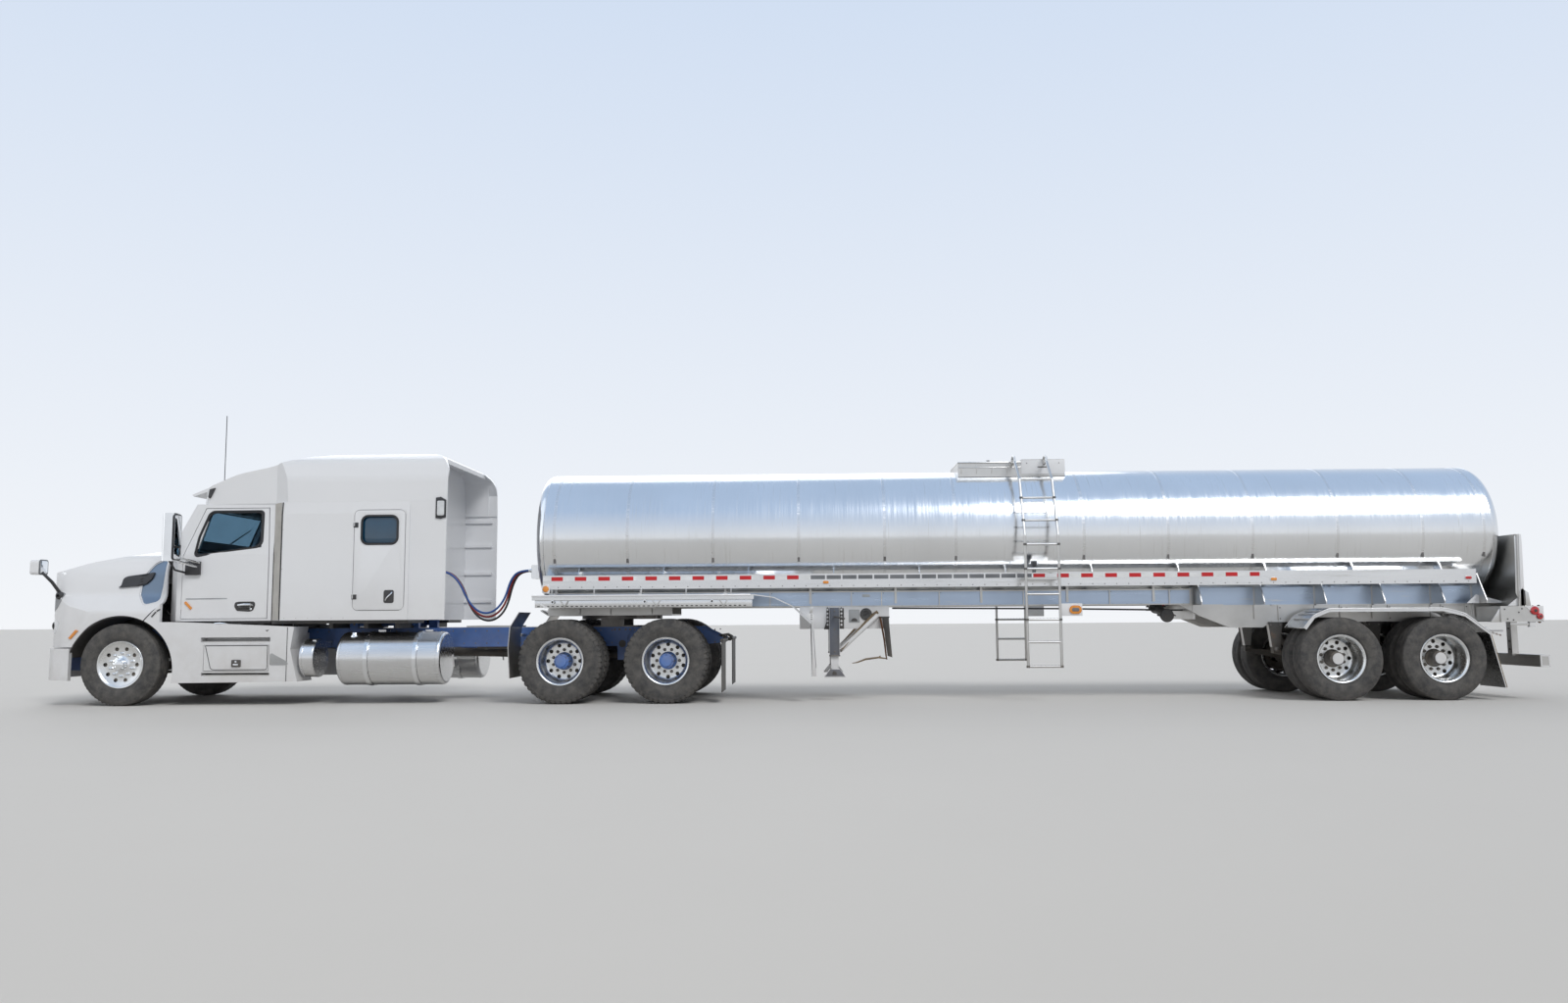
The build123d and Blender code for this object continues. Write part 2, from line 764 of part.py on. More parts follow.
def side_fairing():
    y0 = -FENDER_HALF
    y1 = -760
    top = CAB_BOTTOM - 10
    outline = [
        (COWL_X - 2, 1275),
        (COWL_X - 2, top),
        (719, top),
        (2219, 979),
        (2180, 700),
        (2280, 296),
        (560, 283),
        (300, 760),
        (306, 1068),
    ]
    slab = side_slab(outline, y0, y1)
    arch = across(0, ARCH_Z, -1300, 0, ARCH_R)
    x0, x1, z0, z1 = TOOLBOX
    room = box(x0, x1, y0 - 10, y1 - 30, z0, z1)
    high_step = box(x0 - 40, x1 + 10, y0 - 10, y0 + 150, 790, 850)
    low_step = box(x0 - 20, x1 + 10, y0 - 10, y0 + 150, 370, 410)
    front_cut = box(200, COWL_X + 200, y0 + 60, y1 + 10, 700, 1400)
    pieces = [slab - arch - room - high_step - low_step - front_cut]
    for x in (900, 2050):
        pieces.append(box(x - 40, x + 40, y1, -RAIL_Y - SEAT, 720, 900))
    pieces.append(along(y0, z1 - GAP, x0 - 5, x1 + 5, TOOLBOX_PIN_R))
    return fuse(*pieces)


def toolbox_door():
    x0, x1, z0, z1 = TOOLBOX
    y0 = -FENDER_HALF
    panel = box(x0 + GAP, x1 - GAP, y0, y0 + 30, z0 + GAP, z1 - GAP)
    panel = panel - along(y0, z1 - GAP, x0, x1, TOOLBOX_PIN_R + SEAT)
    latch = box(1460, 1520, y0 - 12, y0, 515, 550)
    return fuse(panel, latch)


TANK_SPAN = (2746, 4064)
FUEL_R = 333
FUEL_Y = -857
FUEL_Z = 570
STRAPS = (3124, 3742)


def fuel_tank():
    x0, x1 = TANK_SPAN
    tank = along(FUEL_Y, FUEL_Z, x0, x1, FUEL_R)
    tank = fillet(tank.edges().filter_by(GeomType.CIRCLE), 40)
    pieces = [tank]
    for x in STRAPS:
        pieces.append(along(FUEL_Y, FUEL_Z, x - 30, x + 30, FUEL_R + 6))
        pieces.append(box(x - 50, x + 50, -600, -RAIL_Y - SEAT, RAIL_BOTTOM + 20, RAIL_TOP - 20))
        pieces.append(box(x - 50, x + 50, -640, -560, 300, 800))
    return fuse(*pieces)


def small_tank():
    tank = along(-940, 583, 2288, 2463, 239)
    arm = box(2340, 2420, -760, -RAIL_Y - SEAT, 720, 790)
    return fuse(tank, arm)


def quarter_fender():
    t = 10
    line = [(4954, 326), (4930, 700), (4950, 960), (5063, 1143)]
    back = [(x + t, z - 2) for x, z in reversed(line)]
    sheet = side_slab(line + back, -BODY_HALF, -620)
    arm = across(4945, 850, -640, -RAIL_Y - SEAT, 20)
    return fuse(sheet, arm)


def flap_hanger():
    tube = across(7600, 775, -BODY_HALF, -RAIL_Y + 30, 22)
    stub = box(RAIL_REAR_X + SEAT, 7600, -RAIL_Y, -RAIL_Y + 50, 745, 795)
    flap = box(7596, 7606, -BODY_HALF + 10, -620, 140, 775)
    return fuse(tube, stub, flap)


def dashboard():
    """Dashboard across the cab, with the column and steering wheel on the driver's side."""
    y = 850
    front = COWL_X + CAB_WALL + SEAT
    top = side_slab([(front, 1500), (front, 1960), (700, 1960), (860, 1800), (820, 1500)], -y, y)
    column = rod((800, -540, 1600), (1010, -540, 1720), 35)
    ring = Plane(origin=(1010, -540, 1720), z_dir=(210, 0, 120)) * Torus(225, 17)
    spokes = [
        rod((1010, -540, 1720), (1010, -540 + s * 222, 1720), 12) for s in (-1, 1)
    ]
    return fuse(top, column, ring, *spokes)


def seats():
    floor = CAB_BOTTOM + CAB_WALL + SEAT
    solids = []
    for y in (-540, 540):
        base = box(1200, 1560, y - 180, y + 180, floor, 1450)
        cushion = fillet(box(1150, 1640, y - 250, y + 250, 1450, 1570).edges().filter_by(Axis.Y), 40)
        back = side_slab([(1580, 1560), (1690, 1560), (1780, 2180), (1690, 2180)], y - 240, y + 240)
        solids.append(fuse(base, cushion, back))
    bunk = box(2560, 3590, -1140, 1140, floor, 1500)
    bunk = fuse(bunk, box(2540, 3590, -1140, 1140, 1500, 1650))
    return solids + [bunk]


# Trailer


def tank():
    x0, x1 = TANK_X
    barrel = along(0, TANK_Z, x0, x1, TANK_R)
    barrel = fillet(barrel.edges().filter_by(GeomType.CIRCLE), 120)
    neck = rod((MANHOLE_X, 0, TANK_Z + TANK_R - 60), (MANHOLE_X, 0, LID_Z), 270)
    well = rod((MANHOLE_X, 0, TANK_Z + TANK_R - 120), (MANHOLE_X, 0, LID_Z + 10), 235)
    body = fuse(barrel, neck) - well
    x, z = LID_PIN
    lugs = [side_slab(LID_LUG, y - 8, y + 8) for y in (-58, 58)]
    pin = across(x, z, -66, 66, LID_PIN_R)
    return fuse(body, *lugs, pin, line_box())


def line_box():
    """Box on the barrel's nose with a socket for each line from the tractor."""
    x0, x1 = LINE_BOX_X
    case = box(x0, x1, -360, -100, 1590, 1770)
    sockets = [rod((LINE_END_X + SEAT, y, 1700), (x0 + 5, y, 1700), 24) for y, k in LINES]
    return fuse(case, *sockets)


MANHOLE_X = 11080
LID_Z = 3060
LID_PIN = (11380, 3072)
LID_PIN_R = 8
LID_LUG = [(11330, 3020), (11396, 3020), (11396, 3083), (11366, 3083), (11366, 3050), (11330, 3050)]
LINE_BOX_X = (5010, 5180)
LINE_END_X = 4990


def manhole_lid():
    disc = rod((MANHOLE_X, 0, LID_Z + SEAT), (MANHOLE_X, 0, LID_Z + 24), 285)
    dome = rod((MANHOLE_X, 0, LID_Z + 24), (MANHOLE_X, 0, LID_Z + 34), 180)
    x, z = LID_PIN
    ear = box(MANHOLE_X + 250, x, -40, 40, LID_Z + SEAT, LID_Z + 24)
    eye = across(x, z, -40, 40, 20)
    return fuse(disc, dome, ear, eye) - across(x, z, -50, 50, LID_PIN_R + SEAT)


def top_deck():
    """Spill rail round the manhole and the closed box behind it."""
    z0 = TANK_Z + TANK_R
    base = 2880
    rail = box(10657, 11480, -430, 430, base, z0 + 80) - box(10670, 11467, -417, 417, base - 10, z0 + 90)
    cabinet = box(11490, 12056, -430, 430, base, 3105)
    body = fuse(rail, cabinet, box(11470, 11500, -430, 430, base, z0 + 60))
    return body - along(0, TANK_Z, 10000, 13000, TANK_R + SEAT)


def side_rail():
    """Long flank rail with its brackets to the barrel."""
    y = -960
    rail = fuse(box(5300, 17000, y, y + 8, 1430, 1600), box(5300, 17000, y, y + 60, 1592, 1600), box(5300, 17000, y, y + 60, 1430, 1438))
    brackets = [box(x, x + 10, y + 8, -600, 1440, 1592) for x in range(5700, 17000, 1100)]
    body = fuse(rail, *brackets)
    return body - along(0, TANK_Z, 5000, 17600, TANK_R + SEAT)


def upper_coupler():
    """Plate that rides on the fifth wheel, with its turned-up lip and webs, and the kingpin set in it."""
    x0, x1 = COUPLER_X
    top = PLATE_BOTTOM + PLATE_T
    pieces = [box(x0, x1, -COUPLER_HALF, COUPLER_HALF, PLATE_BOTTOM, top)]
    lip = [(x0, PLATE_BOTTOM), (x0, top), (x0 - 100, top + 64), (x0 - 96, top + 44)]
    pieces.append(side_slab(lip, -COUPLER_HALF, COUPLER_HALF))
    for s in (-1, 1):
        edge = s * COUPLER_HALF
        pieces.append(box(x0, x1, edge - s * 20, edge, PLATE_BOTTOM, BELLY_BOTTOM - SEAT))
    for x in (5560, 6400, 6760):
        pieces.append(box(x - 8, x + 8, -COUPLER_HALF, COUPLER_HALF, PLATE_BOTTOM, BELLY_BOTTOM - 20))
    head = PLATE_BOTTOM - SEAT
    pin = fuse(
        rod((KINGPIN_X, 0, PLATE_BOTTOM - KINGPIN_L), (KINGPIN_X, 0, head), KINGPIN_R),
        rod((KINGPIN_X, 0, PLATE_BOTTOM - KINGPIN_L), (KINGPIN_X, 0, PLATE_BOTTOM - KINGPIN_L + 12), 29),
    )
    return [fuse(*pieces), pin]


def belly_frame():
    """The two belly beams below the barrel with their cross bolsters."""
    pieces = []
    for s in (-1, 1):
        y = s * BEAM_Y
        pieces.append(box(5300, 13585, y - 40, y + 40, BELLY_BOTTOM, BELLY_TOP))
    for x in (5400, 6500, 7600, 8700, 9800, 10900, 12000, 13100):
        pieces.append(box(x - 15, x + 15, -BEAM_Y - 60, BEAM_Y + 60, BELLY_BOTTOM + 40, 1680))
    body = fuse(*pieces)
    return body - along(0, TANK_Z, 5000, 17600, TANK_R + SEAT)


FENDER_IN_Y = -716


def front_fender():
    """Sheet over the drive wheels with its drooping tail and the flap below it."""
    t = 12
    top = [(5225, 1345), (8000, 1345), (8250, 1310), (8480, 1200), (8714, 978)]
    under = [(8706, 970), (8472, 1190), (8246, 1298), (7998, 1333), (5225, 1333)]
    sheet = side_slab(top + under, -BODY_HALF, FENDER_IN_Y)
    lip = side_slab([(5225, 1345), (8000, 1345), (8000, 1285), (5225, 1285)], -BODY_HALF, -BODY_HALF + 8)
    flap = box(8706, 8718, -BODY_HALF + 20, FENDER_IN_Y, 327, 985)
    arms = [box(x - 20, x + 20, FENDER_IN_Y - 30, -BEAM_Y - 60 - SEAT, 1300, 1333) for x in (5400, 6500, 7600)]
    posts = [box(x - 20, x + 20, -BEAM_Y - 110, -BEAM_Y - 60 - SEAT, 1300, 1380) for x in (5400, 6500, 7600)]
    return fuse(sheet, lip, flap, *arms, *posts)


def landing_gear():
    """Two legs with feet and braces under a closed box between the belly beams."""
    x = 9005
    pieces = [box(8562, 9708, -700, 700, 1000, BELLY_BOTTOM - SEAT)]
    for s in (-1, 1):
        y = s * 745
        pieces.append(box(8562, 9708, s * 690, s * 702, 906, BELLY_BOTTOM - SEAT))
        pieces.append(box(x - 65, x + 65, s * 690, s * 810, 560, 1180))
        pieces.append(box(x - 48, x + 48, y - 38 + s * 5, y + 38 + s * 5, 380, 570))
        foot = side_slab([(x - 130, 297), (x + 130, 297), (x + 130, 312), (x + 60, 400), (x - 60, 400), (x - 130, 312)], y - 100, y + 100)
        pieces.append(foot)
        pieces.append(rod((x + 60, y, 620), (9560, y, 1080), 28))
    pieces.append(across(x, 900, -700, 700, 22))
    return fuse(*pieces)


def rear_subframe():
    """Twin longitudinal frames from the taper back to the rear plate, with hangers and cross members."""
    outline = [(13600, 1180), (13710, 1050), (14180, 890), (14500, 890), (14600, 955), (17180, 955), (17180, 1180)]
    pieces = []
    for s in (-1, 1):
        pieces.append(side_slab(outline, s * SUB_Y - 40, s * SUB_Y + 40))
        for x in TRAILER_X:
            pieces.append(side_slab([(x - 620, 960), (x - 460, 960), (x - 500, 640), (x - 580, 640)], s * SUB_Y - 50, s * SUB_Y + 50))
    for x in (13620, 14401, 15167, 15895, 16632, 17150):
        pieces.append(box(x - 14, x + 14, -SUB_Y - 60, SUB_Y + 60, 1000, 1500))
        for s in (-1, 1):
            gusset = front_slab([(s * 540, 1180), (s * 900, 1180), (s * 900, 1215), (s * 700, 1560), (s * 540, 1560)], x - 6, x + 6)
            pieces.append(gusset)
    body = fuse(*pieces)
    return body - along(0, TANK_Z, 5000, 17600, TANK_R + SEAT)


def trailer_axles():
    """Axle beams, trailing arms and air springs."""
    pieces = []
    for x in TRAILER_X:
        beam = across(x, TRAILER_R, -TWIN_Y + HUB_IN + SEAT, TWIN_Y - HUB_IN - SEAT, 65)
        parts = [beam]
        for s in (-1, 1):
            arm = side_slab([(x - 575, 640 - SEAT), (x - 505, 640 - SEAT), (x - 480, 590), (x + 330, 560), (x + 330, 500), (x - 60, 450), (x - 575, 560)], s * SUB_Y - 45, s * SUB_Y + 45)
            spring = rod((x + 250, s * SUB_Y, 540), (x + 250, s * SUB_Y, 955 - SEAT), 85)
            parts += [arm, spring]
        pieces.append(fuse(*parts))
    return pieces


def rear_fender():
    """Ribbed sheet over both trailer axles, dropped at each end, with the flap behind it."""
    top = [(14742, 892), (14860, 1040), (15050, 1125), (16450, 1125), (16700, 1060), (16996, 819)]
    under = [(x, z - 12) for x, z in reversed(top)]
    sheet = side_slab(top + under, -BODY_HALF, -620)
    lip = side_slab([(14742, 892), (14860, 1040), (15050, 1125), (16450, 1125), (16700, 1060), (16996, 819), (16996, 780), (16690, 1015), (16440, 1080), (15060, 1080), (14880, 1005), (14770, 865)], -BODY_HALF, -BODY_HALF + 8)
    flap = side_slab([(16984, 819), (16996, 819), (17150, 150), (17138, 150)], -BODY_HALF + 20, -640)
    arms = [box(x - 20, x + 20, -640, -SUB_Y - 40 - SEAT, 1080, 1113) for x in (15300, 15800, 16300)]
    return fuse(sheet, lip, flap, *arms)


def rear_plate():
    """Slanted plate behind the barrel, lamp box below it and the square bumper on its hangers."""
    plate = side_slab([(17420, 1137), (17450, 1137), (17480, 2020), (17450, 2020)], -1100, 1100)
    lamp_box = box(17180 + SEAT, 17700, -1120, 1120, 945, 1137)
    bar = box(17600, TAIL_X, -1150, 1150, 396, 541)
    pieces = [plate, lamp_box, bar]
    for y in (-600, 600):
        pieces.append(box(17560, 17640, y - 50, y + 50, 520, 960))
    return fuse(*pieces)


DECK_HALF = 430
LADDER_X = (11370, 11780)
LADDER_Z = (434, 732, 1008, 1321, 1635, 1938, 2243, 2536, 2782)


def ladder():
    """Side ladder: straight below, leaning in over the barrel to the deck."""
    path = [(-1235, 420), (-1235, 2050), (-950, 2780), (-640, 3040), (-DECK_HALF - SEAT, 3040)]
    pieces = []
    for x in LADDER_X:
        for (ya, za), (yb, zb) in zip(path, path[1:]):
            pieces.append(rod((x, ya, za), (x, yb, zb), 17))
        for y, z in path[1:-1]:
            pieces.append(Pos(x, y, z) * Sphere(17))
    for z in LADDER_Z:
        y = -1235 if z < 2050 else -1235 + (z - 2050) * 285 / 730
        pieces.append(rod((LADDER_X[0], y, z), (LADDER_X[1], y, z), 14))
    pieces.append(box(LADDER_X[0] - 15, LADDER_X[1] + 15, -1228, -968.3, 1500, 1530))
    return fuse(*pieces)


def discharge_pipe():
    """Bottom outlet at the low rear of the barrel, with its elbow and capped end."""
    x = 13300
    drop = rod((x, 0, 1180), (x, 0, TANK_Z - TANK_R + 30), 80)
    run = rod((x, 0, 1150), (x, -420, 1060), 60)
    cap = rod((x, -420, 1060), (x, -470, 1049), 78)
    body = fuse(drop, Pos(x, 0, 1160) * Sphere(85), run, cap)
    return body - along(0, TANK_Z, x - 300, x + 300, TANK_R + SEAT)


# Lines from the sleeper's back to the trailer's nose, as (y, route) with (x, z) points along it
LINE_R = 14
LINES = ((-300, 0), (-230, 1), (-160, 2))


def line_route(y, k):
    drop = 50 * k
    return [
        (SLEEPER_REAR_X + 70, y, 1700),
        (3860, y, 1700),
        (4030, y, 1560 - 0.3 * drop),
        (4150, y - 10, 1300 - drop),
        (4310, y - 20, 1140 - drop),
        (4490, y - 20, 1140 - drop),
        (4640, y - 10, 1300 - drop),
        (4720, y, 1590 - 0.3 * drop),
        (4835, y, 1700),
        (LINE_END_X, y, 1700),
    ]


def air_lines():
    solids = []
    for y, k in LINES:
        points = line_route(y, k)
        radii = []
        for a, b, c in zip(points, points[1:], points[2:]):
            u = Vector(*b) - Vector(*a)
            v = Vector(*c) - Vector(*b)
            turn = math.radians(u.get_angle(v))
            radii.append(0.45 * min(u.length, v.length) / math.tan(turn / 2))
        print("line radii", [round(r) for r in radii])
        path = FilletPolyline(*points, radius=radii)
        start = Plane(origin=points[0], z_dir=Vector(*points[1]) - Vector(*points[0]))
        tube = sweep(start * Circle(LINE_R), path=path)
        want = math.pi * LINE_R**2 * path.length
        print("line length", round(path.length), "volume ratio", round(tube.volume / want, 4))
        solids.append(tube)
    return solids


def line_bracket():
    x = SLEEPER_REAR_X + SEAT
    plate = box(SLEEPER_REAR_X - 5, x + 20, -340, -120, 1640, 1760)
    glands = [rod((x + 10, y, 1700), (SLEEPER_REAR_X + 70, y, 1700), 20) for y, k in LINES]
    return fuse(plate, *glands)


# Everything by node name

hood_shell, grille, headlamps = hood_parts()
cab_shell, windscreen = cab_parts()
sleeper_shell, sleeper_door = sleeper_parts()

NODES = {
    "frame_rails": frame_rails(),
    "front_axle": front_axle(),
    "engine": engine(),
    "driveline": driveline(),
    "fifth_wheel": fifth_wheel(),
    "bumper": bumper(),
    "cab_shell": cab_shell,
    "sleeper_shell": sleeper_shell,
    "roof_cap": roof_cap(),
    "windscreen": windscreen,
    "side_extenders": both(side_extender()),
    "side_fairings": both(side_fairing()),
    "fuel_tanks": both(fuel_tank()) + [small_tank()],
    "quarter_fenders": both(quarter_fender()),
    "flap_hangers": both(flap_hanger()),
    "dashboard": dashboard(),
    "seats": seats(),
    "antenna": antenna(),
    "hood": hood_shell,
    "grille": grille,
    "headlamps": headlamps,
    "hood_mirrors": both(hood_mirror()),
    "door_left": door_left(),
    "door_right": other(door_left()),
    "door_glass_left": door_glass_left(),
    "door_glass_right": other(door_glass_left()),
    "mirror_left": mirror_left(),
    "mirror_right": other(mirror_left()),
    "sleeper_door_left": sleeper_door,
    "sleeper_door_right": other(sleeper_door),
    "toolbox_door_left": toolbox_door(),
    "toolbox_door_right": other(toolbox_door()),
    "knuckle_left": knuckle_left(),
    "knuckle_right": other(knuckle_left()),
    "tie_rod": tie_rod(),
    "tank": tank(),
    "manhole_lid": manhole_lid(),
    "top_deck": top_deck(),
    "side_rails": both(side_rail()),
    "upper_coupler": upper_coupler(),
    "belly_frame": belly_frame(),
    "front_fenders": both(front_fender()),
    "landing_gear": landing_gear(),
    "rear_subframe": rear_subframe(),
    "trailer_axles": trailer_axles(),
    "rear_fenders": both(rear_fender()),
    "rear_plate": rear_plate(),
    "ladders": both(ladder()),
    "discharge_pipe": discharge_pipe(),
    "air_lines": air_lines(),
}

for name, side in (("left", -1), ("right", 1)):
    NODES[f"wheel_front_{name}"] = [tyre(0, side * STEER_Y, STEER_R, STEER_R, side), steer_wheel(0, side)]
    for i, x in enumerate(DRIVE_X):
        NODES[f"wheel_drive{i + 1}_{name}"] = twin_set(x, DRIVE_R, DRIVE_R, side, 235)
    for i, x in enumerate(TRAILER_X):
        NODES[f"wheel_trailer{i + 1}_{name}"] = twin_set(x, TRAILER_R, TRAILER_R, side, 200)

# The origin is under the middle of the lorry's length, on the road
TO_ORIGIN = Pos(-(NOSE_X + TAIL_X) / 2, 0, 0)

for name, shape in NODES.items():
    solids = shape if isinstance(shape, list) else [shape]
    placed = [TO_ORIGIN * solid for solid in solids]
    export_step(placed[0] if len(placed) == 1 else Compound(children=placed), f"parts/{name}.step")
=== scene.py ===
import math

import bmesh
import bpy
from mathutils import Matrix, Vector
from mathutils.bvhtree import BVHTree


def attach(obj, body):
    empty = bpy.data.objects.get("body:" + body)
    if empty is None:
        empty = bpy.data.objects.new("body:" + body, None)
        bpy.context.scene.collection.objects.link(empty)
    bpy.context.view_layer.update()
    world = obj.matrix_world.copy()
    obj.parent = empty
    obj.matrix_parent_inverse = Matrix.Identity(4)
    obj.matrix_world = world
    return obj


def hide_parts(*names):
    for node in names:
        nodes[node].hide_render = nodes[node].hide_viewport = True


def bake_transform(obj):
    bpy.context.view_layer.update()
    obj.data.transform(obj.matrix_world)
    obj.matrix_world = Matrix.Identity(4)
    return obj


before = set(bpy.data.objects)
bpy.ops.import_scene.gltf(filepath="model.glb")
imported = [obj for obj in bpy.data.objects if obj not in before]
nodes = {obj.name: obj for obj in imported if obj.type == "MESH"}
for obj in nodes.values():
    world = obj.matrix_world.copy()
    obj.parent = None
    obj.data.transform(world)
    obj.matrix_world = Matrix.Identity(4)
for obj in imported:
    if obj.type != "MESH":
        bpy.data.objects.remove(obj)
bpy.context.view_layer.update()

scene = bpy.context.scene

# Sizes below are millimetres from the front axle on the road, and this is where that point lies in the frame
ORIGIN_X = 8260
SIDES = (("left", -1), ("right", 1))

DRIVE_X = (5580, 6900)
TRAILER_X = (15190, 16435)
PANE = [(862, 1896, 34), (905, 2130, 300), (1024, 2438, 90), (1684, 2438, 40), (1692, 2010, 90), (1250, 1950, 300)]
SCREEN = [(-880, 2110), (-820, 2500), (820, 2500), (880, 2110)]
GRILLE = [(-400, 800), (-440, 1500), (440, 1500), (400, 800)]
SCOOP = [(405, 1878), (420, 1640), (420, 1300, 60), (240, 1250, 90), (125, 1390, 60), (128, 1600, 200)]
SCOOP.append((250, 1800, 150))
TOOLBOX = [(1092, 752, 8), (1172, 442, 50), (1900, 442, 30), (1900, 752, 8)]
FENDER_TOP = [(14742, 892), (14860, 1040, 220), (15050, 1125, 260), (16450, 1125, 500), (16700, 1060, 500)]
FENDER_TOP.append((16996, 819))
STEER_R, DRIVE_R, TRAILER_R = 515, 525, 507
STEER_Y, TWIN_Y, TWIN_HALF = 1040, 907, 171.5
TANK_R, TANK_Z = 885, 2100
TANK_TOP = TANK_Z + TANK_R
SHARP = 32  # degrees between faces from which an edge stays sharp
TIP = 0.01  # radius at which a turned profile closes on its axis


def at(x, y, z):
    """A place in the frame, in metres."""
    return Vector(((x - ORIGIN_X) / 1000, y / 1000, z / 1000))


def linked(name, data):
    """A new object in the scene."""
    thing = bpy.data.objects.new(name, data)
    scene.collection.objects.link(thing)
    return thing


# Camera and light

YAW, PITCH, ROLL = -0.0267, 0.0991, -0.0064
forward = Vector((math.sin(YAW) * math.cos(PITCH), math.cos(YAW) * math.cos(PITCH), math.sin(PITCH)))
level = Vector((math.cos(YAW), -math.sin(YAW), 0))
upright = level.cross(forward)
right = level * math.cos(ROLL) + upright * math.sin(ROLL)
up = upright * math.cos(ROLL) - level * math.sin(ROLL)
lens = bpy.data.cameras.new("camera")
lens.lens = 27.12
lens.sensor_width = 36
lens.clip_end = 500
camera = linked("camera", lens)
camera.matrix_world = Matrix.Translation((0.517, -15.93, 1.036)) @ Matrix((right, up, -forward)).transposed().to_4x4()
scene.camera = camera
scene.view_settings.view_transform = "Standard"


def sun(name, strength, spread, direction):
    light = bpy.data.lights.new(name, "SUN")
    light.energy = strength
    light.angle = math.radians(spread)
    linked(name, light).rotation_euler = Vector(direction).to_track_quat("-Z", "Y").to_euler()


sun("key_light", 1.5, 24, (-0.45, 0.75, -0.85))
sun("fill_light", 0.38, 60, (0.8, 0.35, -0.5))
sun("back_light", 0.6, 50, (0.2, -0.9, -0.6))

world = bpy.data.worlds.new("studio")
scene.world = world
world.use_nodes = True
sky = world.node_tree
sky.nodes.clear()


def sky_node(kind, *sources, **settings):
    """A node of the world, with its first inputs joined to other nodes' outputs."""
    node = sky.nodes.new("ShaderNode" + kind)
    for key, value in settings.items():
        setattr(node, key, value)
    for socket, source in zip(node.inputs, sources):
        sky.links.new(source, socket)
    return node


split = sky_node("SeparateXYZ", sky_node("TexCoord").outputs["Generated"])
ramp = sky_node("ValToRGB", split.outputs["Z"])
low_sky, high_sky = ramp.color_ramp.elements
low_sky.position, low_sky.color = 0.0, (0.90, 0.92, 0.95, 1)
high_sky.position, high_sky.color = 0.75, (0.50, 0.64, 0.86, 1)
shown = sky_node("Background", ramp.outputs["Color"])
lit = sky_node("Background")
lit.inputs["Color"].default_value = (0.93, 0.96, 1.0, 1)
lit.inputs["Strength"].default_value = 0.34
path = sky_node("LightPath").outputs
seen = sky_node("Math", path["Is Camera Ray"], path["Is Glossy Ray"], operation="MAXIMUM")
seen = sky_node("Math", seen.outputs[0], path["Is Transmission Ray"], operation="MAXIMUM")
mixed = sky_node("MixShader", seen.outputs[0], lit.outputs[0], shown.outputs[0])
sky_node("OutputWorld", mixed.outputs[0])


# Materials


